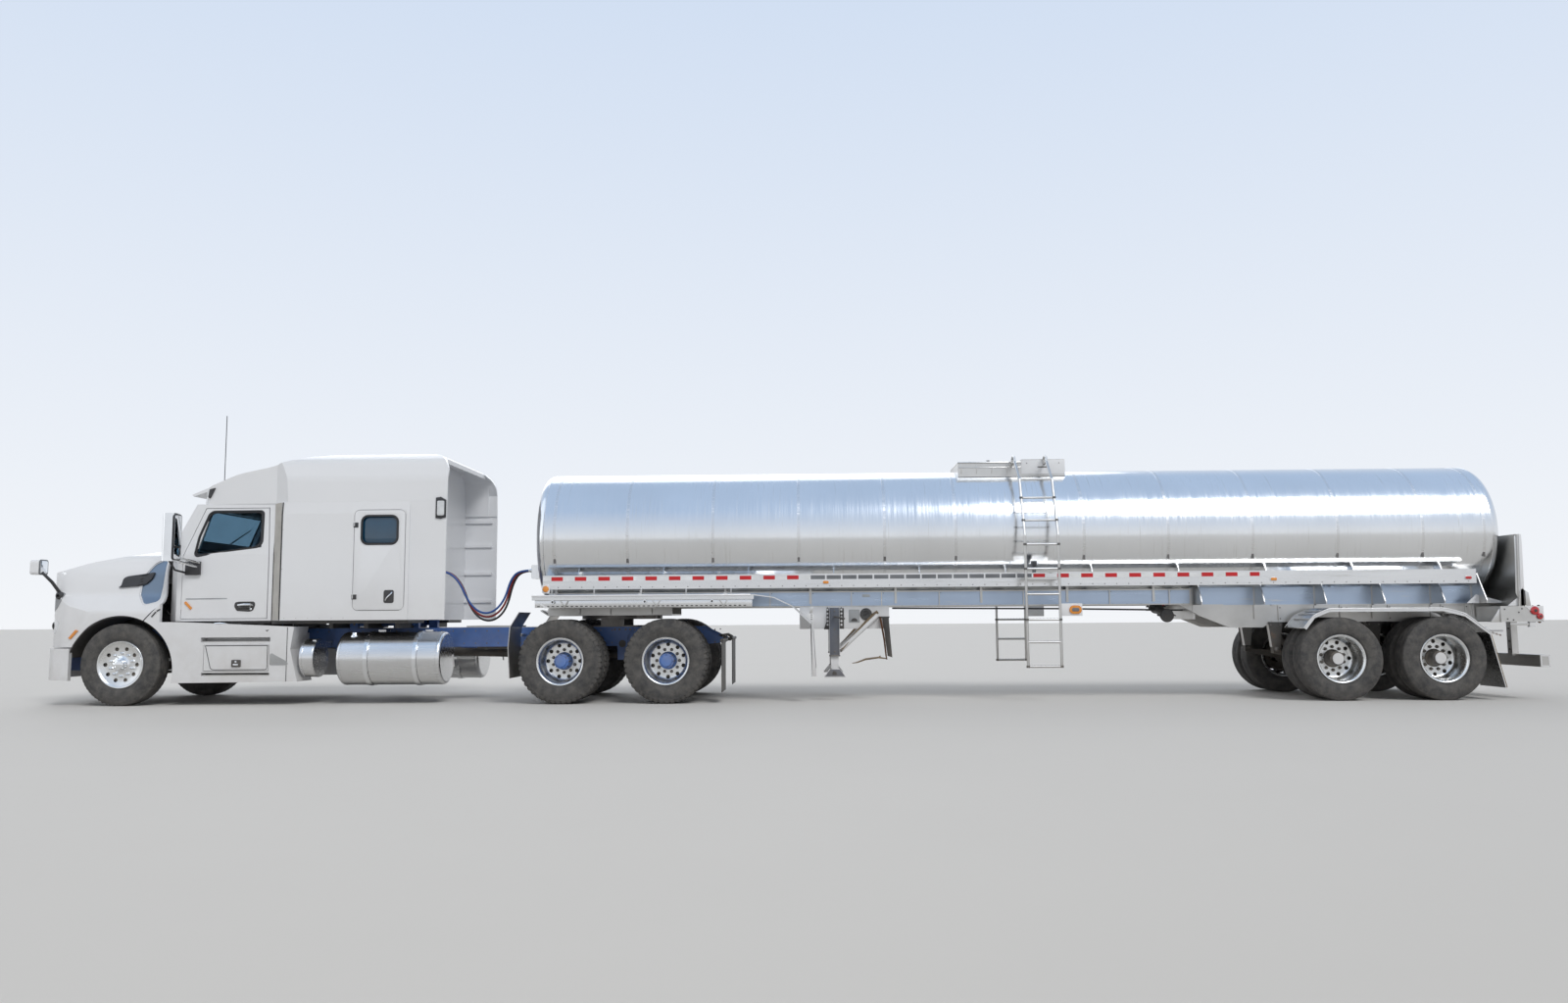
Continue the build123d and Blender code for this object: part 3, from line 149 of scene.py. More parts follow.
class Finish:
    """A procedural material round one Principled shader."""

    def __init__(self, name, colour, rough, metal=0.0):
        self.made = bpy.data.materials.new(name)
        self.made.use_nodes = True
        self.tree = self.made.node_tree
        self.shader = self.tree.nodes["Principled BSDF"]
        self.colour = (*colour, 1)
        self.shader.inputs["Base Color"].default_value = self.colour
        self.shader.inputs["Roughness"].default_value = rough
        self.shader.inputs["Metallic"].default_value = metal
        self.rough = rough
        self.base = None
        self.bumps = None
        self.where = self.add("ShaderNodeTexCoord").outputs["Object"]

    def add(self, kind, **settings):
        node = self.tree.nodes.new(kind)
        for key, value in settings.items():
            setattr(node, key, value)
        return node

    def join(self, out, into):
        self.tree.links.new(out, into)

    def noise(self, scale, detail=5, rough=0.55, stretch=None):
        node = self.add("ShaderNodeTexNoise")
        node.inputs["Scale"].default_value = scale
        node.inputs["Detail"].default_value = detail
        node.inputs["Roughness"].default_value = rough
        where = self.where
        if stretch:
            mapping = self.add("ShaderNodeMapping")
            mapping.inputs["Scale"].default_value = stretch
            self.join(where, mapping.inputs["Vector"])
            where = mapping.outputs[0]
        self.join(where, node.inputs["Vector"])
        return node.outputs["Fac"]

    def waves(self, direction, scale):
        node = self.add("ShaderNodeTexWave", bands_direction=direction)
        node.inputs["Scale"].default_value = scale
        self.join(self.where, node.inputs["Vector"])
        return node.outputs["Fac"]

    def ranged(self, value, low, high, to_low=0.0, to_high=1.0):
        node = self.add("ShaderNodeMapRange")
        for key, number in zip(("From Min", "From Max", "To Min", "To Max"), (low, high, to_low, to_high)):
            node.inputs[key].default_value = number
        self.join(value, node.inputs["Value"])
        return node.outputs[0]

    def over(self, share, colour):
        """Another colour over the base, by a share that varies over the surface."""
        node = self.add("ShaderNodeMix", data_type="RGBA")
        if self.base is None:
            node.inputs[6].default_value = self.colour
        else:
            self.join(self.base, node.inputs[6])
        node.inputs[7].default_value = (*colour, 1)
        self.join(share, node.inputs[0])
        self.base = node.outputs[2]
        self.join(self.base, self.shader.inputs["Base Color"])
        return self

    def mottle(self, scale, amount, factor):
        """Slow change of shade over the surface."""
        share = self.ranged(self.noise(scale, 6), 0.35, 0.7, 0, amount * 4 if amount < 0.25 else 1)
        return self.over(share, tuple(c * factor for c in self.colour[:3]))

    def dusty(self, low, high, most):
        """Road dust that thins out upward, between two heights in metres."""
        parts = self.add("ShaderNodeSeparateXYZ")
        self.join(self.where, parts.inputs[0])
        product = self.add("ShaderNodeMath", operation="MULTIPLY")
        self.join(self.ranged(parts.outputs["Z"], low, high, most, 0), product.inputs[0])
        self.join(self.ranged(self.noise(3.0, 8, 0.65), 0.3, 0.7, 0.3, 1.0), product.inputs[1])
        self.over(product.outputs[0], (0.36, 0.31, 0.25))
        dull = self.ranged(product.outputs[0], 0, 1, self.rough, min(1, self.rough + 0.5))
        self.join(dull, self.shader.inputs["Roughness"])
        return self

    def blotched(self, scale, start, colour, soft, stretch=None):
        """Patches such as rust, chips or grease where a noise passes a level."""
        share = self.ranged(self.noise(scale, 8, 0.65, stretch), start, start + soft)
        return self.over(share, colour)

    def uneven(self, scale, low, high, stretch=None):
        """Roughness that varies between two values."""
        value = self.ranged(self.noise(scale, 6, 0.6, stretch), 0.3, 0.7, low, high)
        self.join(value, self.shader.inputs["Roughness"])
        return self

    def bumpy(self, scale, height, strength, stretch=None, source=None):
        """Relief of a height in metres."""
        node = self.add("ShaderNodeBump")
        node.inputs["Strength"].default_value = strength
        node.inputs["Distance"].default_value = height
        self.join(source if source is not None else self.noise(scale, 6, 0.6, stretch), node.inputs["Height"])
        if self.bumps is not None:
            self.join(self.bumps, node.inputs["Normal"])
        self.bumps = node.outputs[0]
        self.join(self.bumps, self.shader.inputs["Normal"])
        return self

    def coated(self, weight, rough=0.05):
        self.shader.inputs["Coat Weight"].default_value = weight
        self.shader.inputs["Coat Roughness"].default_value = rough
        return self


def painted_white():
    f = Finish("white_paint", (0.80, 0.81, 0.83), 0.32)
    f.mottle(0.7, 0.08, 0.9).bumpy(1.3, 0.004, 0.12).bumpy(220, 0.0002, 0.25)
    f.blotched(26, 0.72, (0.50, 0.46, 0.40), 0.06)
    return f.dusty(0.2, 1.6, 0.42).coated(0.5).made


def painted_blue():
    f = Finish("blue_frame", (0.025, 0.15, 0.52), 0.42)
    f.mottle(1.4, 0.3, 0.45).blotched(18, 0.66, (0.10, 0.07, 0.05), 0.08)
    return f.bumpy(90, 0.0006, 0.4).dusty(0.1, 1.3, 0.55).coated(0.25, 0.2).made


def painted_dark(name="dark_frame", colour=(0.045, 0.046, 0.05)):
    f = Finish(name, colour, 0.5)
    f.mottle(2.0, 0.3, 0.5).blotched(14, 0.64, (0.13, 0.07, 0.04), 0.1)
    return f.bumpy(70, 0.0008, 0.4).dusty(0.1, 1.3, 0.5).made


def polished(name="polished", colour=(0.80, 0.81, 0.82), low=0.10, high=0.24, streak=(55, 1.4, 1.4)):
    """Mirror sheet: brushed round the barrel, slightly quilted, with fine wiping marks."""
    f = Finish(name, colour, low, 1.0)
    f.mottle(0.9, 0.14, 0.86).blotched(1.0, 0.60, (0.62, 0.61, 0.58), 0.12, streak)
    f.uneven(1.0, low, high, streak)
    return f.bumpy(0.8, 0.02, 0.10).bumpy(1.0, 0.0008, 0.10, streak).bumpy(300, 0.0001, 0.2).made


def aluminium():
    f = Finish("aluminium", (0.62, 0.61, 0.59), 0.34, 1.0)
    f.mottle(1.6, 0.2, 0.72).blotched(30, 0.68, (0.34, 0.30, 0.25), 0.1)
    f.bumpy(1.0, 0.001, 0.25, (4, 60, 60)).bumpy(160, 0.0003, 0.3)
    return f.dusty(0.2, 1.5, 0.4).made


def chromed():
    f = Finish("chrome", (0.82, 0.83, 0.84), 0.07, 1.0)
    return f.mottle(3, 0.12, 0.8).uneven(6, 0.04, 0.16).bumpy(40, 0.0003, 0.15).made


def greasy_steel(name="steel", colour=(0.20, 0.19, 0.18), rough=0.45):
    f = Finish(name, colour, rough, 0.85)
    f.mottle(4, 0.25, 0.5).blotched(16, 0.6, (0.12, 0.06, 0.03), 0.12)
    return f.bumpy(60, 0.001, 0.45).dusty(0.1, 1.2, 0.5).made


def cast_iron():
    f = Finish("iron", (0.07, 0.07, 0.072), 0.62, 0.4)
    f.mottle(5, 0.3, 0.5).blotched(12, 0.58, (0.16, 0.08, 0.04), 0.14)
    return f.bumpy(140, 0.0012, 0.6).dusty(0.1, 1.2, 0.6).made


def rubber():
    f = Finish("tyre", (0.042, 0.042, 0.044), 0.78)
    f.mottle(6, 0.3, 0.7).bumpy(300, 0.0004, 0.5)
    spread = f.ranged(f.noise(9, 8, 0.7), 0.35, 0.7, 0.05, 0.55)
    return f.over(spread, (0.20, 0.185, 0.165)).made


def plastic(name="black_plastic", colour=(0.035, 0.035, 0.038), rough=0.48):
    f = Finish(name, colour, rough)
    f.mottle(5, 0.2, 0.7).bumpy(900, 0.0002, 0.5)
    return f.dusty(0.1, 1.6, 0.3).made


def clear_glass():
    f = Finish("glass", (0.30, 0.42, 0.50), 0.03)
    f.shader.inputs["Transmission Weight"].default_value = 1.0
    f.shader.inputs["IOR"].default_value = 1.1
    f.over(f.ranged(f.noise(5, 8, 0.7), 0.45, 0.8, 0, 0.4), (0.24, 0.33, 0.40))
    return f.uneven(4, 0.02, 0.08).made


def lens_glass(name, colour):
    f = Finish(name, colour, 0.12)
    f.mottle(20, 0.15, 0.75)
    return f.bumpy(1, 0.001, 0.5, source=f.waves("X", 40)).coated(0.8, 0.03).made


def plain(name, colour, rough, vary=0.15, grain=0.0003, coat=0.0):
    f = Finish(name, colour, rough)
    f.mottle(6, vary, 0.72).bumpy(160, grain, 0.4)
    return f.coated(coat, 0.02).made if coat else f.made


def woven(name="seat_fabric", colour=(0.16, 0.165, 0.18)):
    f = Finish(name, colour, 0.9)
    f.shader.inputs["Sheen Weight"].default_value = 0.4
    f.mottle(9, 0.2, 0.7)
    for direction in ("X", "Y"):
        f.bumpy(1, 0.0006, 0.5, source=f.waves(direction, 220))
    return f.made


WHITE = painted_white()
BLUE = painted_blue()
DARK = painted_dark()
TANK = polished()
BRIGHT = polished("bright_sheet", (0.74, 0.74, 0.74), 0.14, 0.32, (1.2, 30, 30))
ALU = aluminium()
CHROME = chromed()
STEEL = greasy_steel()
IRON = cast_iron()
GREY = painted_dark("grey_paint", (0.20, 0.21, 0.225))
BLACK = plastic()
DASH = plastic("dash_plastic", (0.13, 0.125, 0.12), 0.6)
GLASS = clear_glass()
LAMP = lens_glass("lamp_lens", (0.70, 0.72, 0.74))
AMBER = lens_glass("amber_lens", (0.80, 0.28, 0.02))
RED = lens_glass("red_lens", (0.55, 0.012, 0.015))
TYRE = rubber()
FABRIC = woven()
HOSE = plain("hose_rubber", (0.035, 0.035, 0.038), 0.55)
HOSE_RED = plain("hose_red", (0.30, 0.03, 0.025), 0.5)
HOSE_BLUE = plain("hose_blue", (0.03, 0.10, 0.34), 0.5)
TAPE_RED = plain("tape_red", (0.60, 0.015, 0.02), 0.35)
TAPE_WHITE = plain("tape_white", (0.82, 0.83, 0.84), 0.35)
GASKET = plain("gasket", (0.022, 0.022, 0.024), 0.6)
RUST = greasy_steel("rusted_strap", (0.24, 0.10, 0.045), 0.8)
TAN = greasy_steel("weathered_brace", (0.36, 0.27, 0.17), 0.7)
BLUE_SHEET = polished("beam_sheet", (0.42, 0.50, 0.62), 0.24, 0.42, (1.2, 20, 20))
SLATE = painted_dark("slate_paint", (0.115, 0.14, 0.19))
SEAT_TRIM = woven("seat_trim", (0.085, 0.088, 0.095))
# Grey-beige for the white slope between the cab and the sleeper: painted shade
SLOPE_SHADE = plain("cab_slope_painted_shade", (0.60, 0.58, 0.54), 0.65)
TINTED = plain("tinted_glass", (0.006, 0.05, 0.10), 0.06, 0.1, 0.00005, 1.0)
MIRROR = polished("mirror_glass", (0.86, 0.88, 0.90), 0.02, 0.04)
RIM = polished("rim_alloy", (0.72, 0.72, 0.71), 0.20, 0.38, (4, 4, 4))
HUB_BLUE = painted_dark("hub_blue", (0.03, 0.20, 0.66))
DRUM = cast_iron()
# Dark blue-grey sheet for the floor of the hood's side recess: painted shade of the recess
RECESS_SHADE = polished("recess_painted_shade", (0.20, 0.25, 0.31), 0.26, 0.45, (3, 3, 3))
LIGHT_GREY = painted_dark("light_grey_paint", (0.42, 0.44, 0.46))
NODE_FINISHES = (
    (BLUE, "frame_rails"),
    (IRON, "front_axle engine driveline knuckle_left knuckle_right trailer_axles"),
    (STEEL, "fifth_wheel tie_rod"),
    (WHITE, "bumper cab_shell sleeper_shell roof_cap side_extenders side_fairings hood hood_mirrors landing_gear"),
    (WHITE, "door_left door_right sleeper_door_left sleeper_door_right toolbox_door_left toolbox_door_right"),
    (GLASS, "windscreen door_glass_left door_glass_right"),
    (BRIGHT, "fuel_tanks side_rails front_fenders rear_fenders"),
    (ALU, "quarter_fenders manhole_lid top_deck upper_coupler belly_frame rear_subframe rear_plate ladders"),
    (BLACK, "flap_hangers antenna"),
    (DASH, "dashboard"),
    (FABRIC, "seats"),
    (GREY, "grille"),
    (LAMP, "headlamps"),
    (CHROME, "mirror_left mirror_right"),
    (TANK, "tank"),
    (DARK, "discharge_pipe"),
    (HOSE, "air_lines"),
)
finish_of = {name: finish for finish, names in NODE_FINISHES for name in names.split()}
for name, node in nodes.items():
    node.data.materials.clear()
    node.data.materials.append(finish_of.get(name, TYRE))
    node.data.set_sharp_from_angle(angle=math.radians(SHARP))


# Shapes gathered into one mesh

ORDER = {"x": lambda a, b, c: (c, a, b), "y": lambda a, b, c: (a, c, b), "z": lambda a, b, c: (a, b, c)}


def frame_faces(n):
    """Faces of a closed frame from its outer and inner outlines of n points, low and high."""
    faces = []
    for i in range(n):
        j = (i + 1) % n
        faces += [(i, j, n + j, n + i), (2 * n + i, 3 * n + i, 3 * n + j, 2 * n + j)]
        faces += [(n + i, n + j, 3 * n + j, 3 * n + i), (i, 2 * n + i, 2 * n + j, j)]
    return faces


def plate_faces(rows, columns):
    """Faces of a closed plate from two grids of points, one over the other, and the grid's rim."""
    m, under = columns, rows * columns
    faces = []
    for i in range(rows - 1):
        for a in range(i * m, i * m + m - 1):
            faces.append((a, a + 1, a + m + 1, a + m))
            faces.append((under + a, under + a + m, under + a + m + 1, under + a + 1))
    rim = list(range(m)) + [i * m + m - 1 for i in range(1, rows)]
    rim += [(rows - 1) * m + k for k in range(m - 2, -1, -1)] + [i * m for i in range(rows - 2, 0, -1)]
    return faces + [(a, b, under + b, under + a) for a, b in zip(rim, rim[1:] + rim[:1])], rim


class Form:
    """Small shapes gathered into one mesh, in millimetres from the front axle.

    With side -1, what is added lies on the lorry's left as it is written for the right, and round shapes keep the
    direction in which their points run.
    """

    def __init__(self, side=1):
        self.side = side
        self.points = []
        self.faces = []
        self.kinds = []
        self.kind = 0

    def use(self, kind):
        self.kind = kind
        return self

    def patch(self, points, faces):
        base = len(self.points)
        self.points += [(x, y * self.side, z) for x, y, z in points]
        self.faces += [tuple(base + i for i in face) for face in faces]
        self.kinds += [self.kind] * len(faces)
        return self

    def block(self, x0, x1, y0, y1, z0, z1):
        p = [(x, y, z) for x in (x0, x1) for y in (y0, y1) for z in (z0, z1)]
        faces = [(0, 1, 3, 2), (4, 6, 7, 5), (0, 4, 5, 1), (2, 3, 7, 6), (0, 2, 6, 4), (1, 5, 7, 3)]
        return self.patch(p, faces)

    def prism(self, outline, axis, low, high):
        """An outline of two values extruded along x, y or z."""
        n = len(outline)
        points = [ORDER[axis](a, b, t) for t in (low, high) for a, b in outline]
        faces = [tuple(range(n)), tuple(range(2 * n - 1, n - 1, -1))]
        faces += [(i, (i + 1) % n, n + (i + 1) % n, n + i) for i in range(n)]
        return self.patch(points, faces)

    def tube(self, line, radius, sides=12, closed=False, flat=1.0):
        """A round bar along a line of points; radius may be a list."""
        line = [Vector(p) for p in line]
        n = len(line)
        radii = radius if isinstance(radius, (list, tuple)) else [radius] * n
        points = []
        side = None
        for i, p in enumerate(line):
            before = line[i - 1] if i or closed else p
            after = line[(i + 1) % n] if i < n - 1 or closed else p
            ahead = (after - before).normalized()
            if side is None:
                guess = Vector((0, 0, 1)) if abs(ahead.z) < 0.9 else Vector((1, 0, 0))
                side = ahead.cross(guess).normalized() * self.side
            side = (side - ahead * side.dot(ahead)).normalized()
            other = ahead.cross(side) * self.side
            for k in range(sides):
                a = 2 * math.pi * k / sides
                points.append(p + side * (radii[i] * math.cos(a)) + other * (radii[i] * flat * math.sin(a)))
        faces = []
        for i in range(n if closed else n - 1):
            for k in range(sides):
                a, b = i * sides, ((i + 1) % n) * sides
                faces.append((a + k, a + (k + 1) % sides, b + (k + 1) % sides, b + k))
        if not closed:
            faces += [tuple(range(sides - 1, -1, -1)), tuple((n - 1) * sides + k for k in range(sides))]
        return self.patch(points, faces)

    def bar(self, a, b, radius, sides=12):
        return self.tube([a, b], radius, sides)

    def turned(self, profile, centre, axis, sides, closed=False, sign=1):
        """A profile of (radius, distance along the axis) turned about it."""
        n = len(profile)
        turn = 1 if axis == "y" else self.side
        points = []
        for k in range(sides):
            a = 2 * math.pi * k / sides
            for r, t in profile:
                dx, dy, dz = ORDER[axis](r * math.cos(a), r * math.sin(a), sign * t)
                points.append((centre[0] + dx, centre[1] + dy * turn, centre[2] + dz))
        faces = []
        for k in range(sides):
            a, b = k * n, ((k + 1) % sides) * n
            for i in range(n if closed else n - 1):
                j = (i + 1) % n
                faces.append((a + i, a + j, b + j, b + i))
        return self.patch(points, faces)

    def ring(self, inner, outer, low, high, centre, axis, sides):
        """A band round an axis, between two radii and two distances along it."""
        profile = [(inner, low), (outer, low), (outer, high), (inner, high)]
        return self.turned(profile, centre, axis, sides, closed=True)

    def disc(self, radius, height, centre, axis, sides):
        """A button that stands on a face."""
        return self.turned([(radius, 0), (radius, height), (TIP, height)], centre, axis, sides)

    def dome(self, centre, radius, axis, sign, height, sides, rings=4):
        turns = [i * math.pi / 2 / rings for i in range(rings)]
        profile = [(radius * math.cos(t), height * math.sin(t)) for t in turns] + [(TIP, height)]
        return self.turned(profile, centre, axis, sides, sign=sign)

    def bolt(self, centre, axis, sign, across, height):
        washer = across / 2 * 1.35
        profile = [(washer, 0), (washer, height * 0.25), (across / 2, height * 0.25), (across / 2, height * 0.9)]
        profile += [(across / 2 * 0.8, height), (TIP, height)]
        return self.turned(profile, centre, axis, 6, sign=sign)

    def ribbon(self, line, normal, wide, thick):
        """A flat strip along a line of points, lying on a surface with that normal."""
        line = [Vector(p) for p in line]
        normal = Vector(normal)
        points = []
        for i, p in enumerate(line):
            ahead = (line[min(i + 1, len(line) - 1)] - line[max(i - 1, 0)]).normalized()
            side = ahead.cross(normal).normalized() * wide / 2 * self.side
            points += [p - side, p + side, p + side + normal * thick, p - side + normal * thick]
        faces = []
        for i in range(len(line) - 1):
            a = 4 * i
            faces += [(a + j, a + (j + 1) % 4, a + 4 + (j + 1) % 4, a + 4 + j) for j in range(4)]
        faces += [(3, 2, 1, 0), tuple(4 * (len(line) - 1) + j for j in range(4))]
        return self.patch(points, faces)

    def frame_ring(self, outline, axis, low, high, wide):
        """A picture-frame strip round an outline, extruded along x, y or z."""
        centre = [sum(p[i] for p in outline) / len(outline) for i in (0, 1)]
        n = len(outline)
        inner = []
        for i, p in enumerate(outline):
            a, b = outline[i - 1], outline[(i + 1) % n]
            u = Vector((p[0] - a[0], p[1] - a[1])).normalized()
            v = Vector((b[0] - p[0], b[1] - p[1])).normalized()
            normal = Vector((-(u.y + v.y), u.x + v.x)).normalized()
            if normal.dot(Vector((centre[0] - p[0], centre[1] - p[1]))) < 0:
                normal = -normal
            reach = wide / max(0.5, abs(normal.dot(Vector((-u.y, u.x)))))
            inner.append((p[0] + normal.x * reach, p[1] + normal.y * reach))
        points = [ORDER[axis](*p, t) for line in (outline, inner) for t in (low, high) for p in line]
        return self.patch(points, frame_faces(n))

    def skin(self, node, outline, proud, rows, columns, flank=None):
        """A thin plate that lies on a node's flank inside an outline of (x, z) points."""
        low, high = min(z for x, z in outline), max(z for x, z in outline)
        points = []
        for i in range(rows + 1):
            z = low + (high - low) * min(max(i / rows, 0.004), 0.996)
            first, last = crossings(outline, z)
            for k in range(columns + 1):
                x = first + (last - first) * k / columns
                flank = flank_y(node, x, z, self.side, flank)
                points.append((x, flank, z))
        plate = [(x, y + t, z) for t in (proud, -SKIN) for x, y, z in points]
        return self.patch(plate, plate_faces(rows + 1, columns + 1)[0])

    def sides(self):
        """The left side and then the right one, for shapes that stand on both."""
        for self.side in (-1, 1):
            yield self.side

    def mesh(self, name, finishes, local=False, smooth=SHARP):
        data = bpy.data.meshes.new(name)
        shift = 0 if local else ORIGIN_X
        data.from_pydata([((x - shift) / 1000, y / 1000, z / 1000) for x, y, z in self.points], [], self.faces)
        for finish in finishes:
            data.materials.append(finish)
        data.polygons.foreach_set("material_index", self.kinds)
        tidy = bmesh.new()
        tidy.from_mesh(data)
        bmesh.ops.remove_doubles(tidy, verts=tidy.verts, dist=1e-6)
        bmesh.ops.recalc_face_normals(tidy, faces=tidy.faces)
        tidy.to_mesh(data)
        tidy.free()
        return smoothed(data, smooth)

    def place(self, name, finishes, body, bevel=0.0, smooth=SHARP):
        """One object of these shapes that rides on a body."""
        piece = linked(name, self.mesh(name, finishes, smooth=smooth))
        if bevel:
            soften(piece, bevel)
        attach(piece, body)
        return piece


def smoothed(data, angle=SHARP):
    data.shade_smooth()
    data.set_sharp_from_angle(angle=math.radians(angle))
    return data


def worked(piece):
    """The piece's mesh with its modifiers worked into it."""
    bpy.context.view_layer.update()
    data = bpy.data.meshes.new_from_object(piece.evaluated_get(bpy.context.evaluated_depsgraph_get()))
    piece.modifiers.clear()
    return data


def soften(piece, width):
    """Rounded edges, applied to the mesh."""
    modifier = piece.modifiers.new("edges", "BEVEL")
    modifier.width = width / 1000
    modifier.segments = 2
    modifier.limit_method = "ANGLE"
    modifier.angle_limit = math.radians(40)
    modifier.harden_normals = False
    piece.data = smoothed(worked(piece))


def merged(a, b, how):
    """The first piece joined with, cut by or kept inside the second."""
    modifier = a.modifiers.new("cut", "BOOLEAN")
    modifier.object = b
    modifier.operation = how
    modifier.solver = "EXACT"
    a.data = worked(a)
    bpy.data.objects.remove(b)
    return a


def arc(cx, cy, radius, start, end, steps):
    """Points on an arc, in degrees."""
    turns = [math.radians(start + (end - start) * i / steps) for i in range(steps + 1)]
    return [(cx + radius * math.cos(t), cy + radius * math.sin(t)) for t in turns]


def rounded(x0, x1, z0, z1, r):
    """A rounded rectangle's outline."""
    corners = ((x1 - r, z0 + r, -90), (x1 - r, z1 - r, 0), (x0 + r, z1 - r, 90), (x0 + r, z0 + r, 180))
    return [p for cx, cz, a in corners for p in arc(cx, cz, r, a, a + 90, 6)]


def soft_corners(points, radius):
    """A closed outline with each corner rounded."""
    out = []
    for i, p in enumerate(points):
        p = Vector(p)
        a = Vector(points[i - 1]) - p
        b = Vector(points[(i + 1) % len(points)]) - p
        r = min(radius, a.length * 0.45, b.length * 0.45)
        p0, p2 = p + a.normalized() * r, p + b.normalized() * r
        for t in (0, 0.2, 0.4, 0.6, 0.8, 1):
            out.append(tuple(p0 * (1 - t) ** 2 + p * 2 * t * (1 - t) + p2 * t * t))
    return out


def cornered(points, steps=5):
    """A closed outline of (a, b) or (a, b, corner radius) points with true arcs at its corners."""
    out = []
    for i, p in enumerate(points):
        if len(p) < 3:
            out.append(p)
            continue
        here = Vector(p[:2])
        a = (Vector(points[i - 1][:2]) - here).normalized()
        b = (Vector(points[(i + 1) % len(points)][:2]) - here).normalized()
        half = a.angle(b) / 2
        middle = here + (a + b).normalized() * (p[2] / math.sin(half))
        first, last = here + a * (p[2] / math.tan(half)), here + b * (p[2] / math.tan(half))
        start, end = first - middle, last - middle
        for k in range(steps + 1):
            way = (start * (1 - k / steps) + end * (k / steps)).normalized()
            out.append(tuple(middle + way * p[2]))
    return out


def shrunk(outline, share):
    """An outline drawn in towards its middle."""
    cx, cz = (sum(p[i] for p in outline) / len(outline) for i in (0, 1))
    return [(cx + (x - cx) * share, cz + (z - cz) * share) for x, z in outline]


# Air and electric lines from the sleeper's back to the trailer's nose

LINE_R = 14


def line_route(y, k):
    drop = 50 * k
    return [
        (3730, y, 1700),
        (3860, y, 1700),
        (4030, y, 1560 - 0.3 * drop),
        (4150, y - 10, 1300 - drop),
        (4310, y - 20, 1140 - drop),
        (4490, y - 20, 1140 - drop),
        (4640, y - 10, 1300 - drop),
        (4720, y, 1590 - 0.3 * drop),
        (4835, y, 1700),
        (4990, y, 1700),
    ]


def air_line(name, y, k, finish):
    curve = bpy.data.curves.new(name, "CURVE")
    curve.dimensions = "3D"
    curve.resolution_u = 12
    spline = curve.splines.new("NURBS")
    route = line_route(y, k)
    spline.points.add(len(route) - 1)
    for point, place in zip(spline.points, route):
        point.co = (*at(*place), 1)
    spline.order_u = 3
    spline.use_endpoint_u = True
    piece = bpy.data.objects.new(name, curve)
    followed = [tuple(v.co) for v in bpy.data.meshes.new_from_object(piece).vertices]
    bpy.data.objects.remove(piece)
    ring = [(x * 1000 + ORIGIN_X, y * 1000, z * 1000) for x, y, z in followed]
    tube = linked(name, Form().tube(ring, LINE_R, 16).mesh(name, [finish]))
    long = sum((Vector(a) - Vector(b)).length for a, b in zip(followed, followed[1:]))
    at(3860, y, 1500)
    at(4900, y, 1500)
    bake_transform(tube)
    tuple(followed[0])
    return tube


LINES = (
    ("line_service", -300, 0, HOSE_BLUE), ("line_emergency", -230, 1, HOSE_RED), ("line_electric", -160, 2, HOSE),
)
hoses = [air_line(*row) for row in LINES]
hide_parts("air_lines")


# Floor

ground = bpy.data.meshes.new("floor")
ground.from_pydata([(-200, -200, 0), (200, -200, 0), (200, 200, 0), (-200, 200, 0)], [], [(0, 1, 2, 3)])
ground.materials.append(Finish("floor", (0.66, 0.645, 0.62), 0.75).mottle(0.6, 0.05, 0.95).made)
linked("floor", ground)

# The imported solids' surfaces, so that trim lies on them

SKIN = 3  # depth of a plate below the surface that it lies on
trees = {}


def surface(piece):
    return BVHTree.FromObject(piece, bpy.context.evaluated_depsgraph_get())


def hit(name, start, toward):
    if name not in trees:
        trees[name] = surface(nodes[name])
    found = trees[name].ray_cast(start, Vector(toward))[0]
    return None if found is None else (found.x * 1000 + ORIGIN_X, found.y * 1000)


def flank_y(name, x, z, side, fallback):
    """How far from the middle the node's flank lies on that side."""
    found = hit(name, at(x, side * 3000, z), (0, -side, 0))
    return found[1] * side if found else fallback


def front_x(name, y, z, fallback):
    found = hit(name, at(-4000, y, z), (1, 0, 0))
    return found[0] if found else fallback


def crossings(outline, level):
    """Where a row at one height enters and leaves an outline."""
    found = []
    for (a, b), (c, d) in zip(outline, outline[1:] + outline[:1]):
        if (b <= level < d) or (d <= level < b):
            found.append(a + (c - a) * (level - b) / (d - b))
    return min(found), max(found)


def trace(name, line, side, lift, steps=6, flank=None):
    """A line of (x, z) points laid on a node's flank, as it is written for the right side."""
    out = []
    for (a, b), (c, d) in zip(line, line[1:]):
        for i in range(steps):
            x, z = a + (c - a) * i / steps, b + (d - b) * i / steps
            flank = flank_y(name, x, z, side, flank)
            if flank is not None:
                out.append((x, flank + lift, z))
    x, z = line[-1]
    return out + [(x, flank_y(name, x, z, side, flank) + lift, z)]


# Wheels

HOLES = 10
NO_OFFSET = (0, 0, 0)


def tyre_profile(radius):
    half = [(286.1, 105), (298.4, 105), (305, 109), (313, 112.6)]
    below = (
        (190, 122), (160, 133), (130, 138.5), (100, 140), (75, 137), (52, 130), (44, 130.5), (36, 126), (22, 120),
    )
    below += ((9, 115), (2, 106), (0, 99), (0, 76), (0, 68), (12, 66), (12, 57), (0, 55), (0, 26), (12, 24), (12, 13))
    half += [(radius - d, w) for d, w in below] + [(radius, 11)]
    return half + [(r, -w) for r, w in reversed(half)]


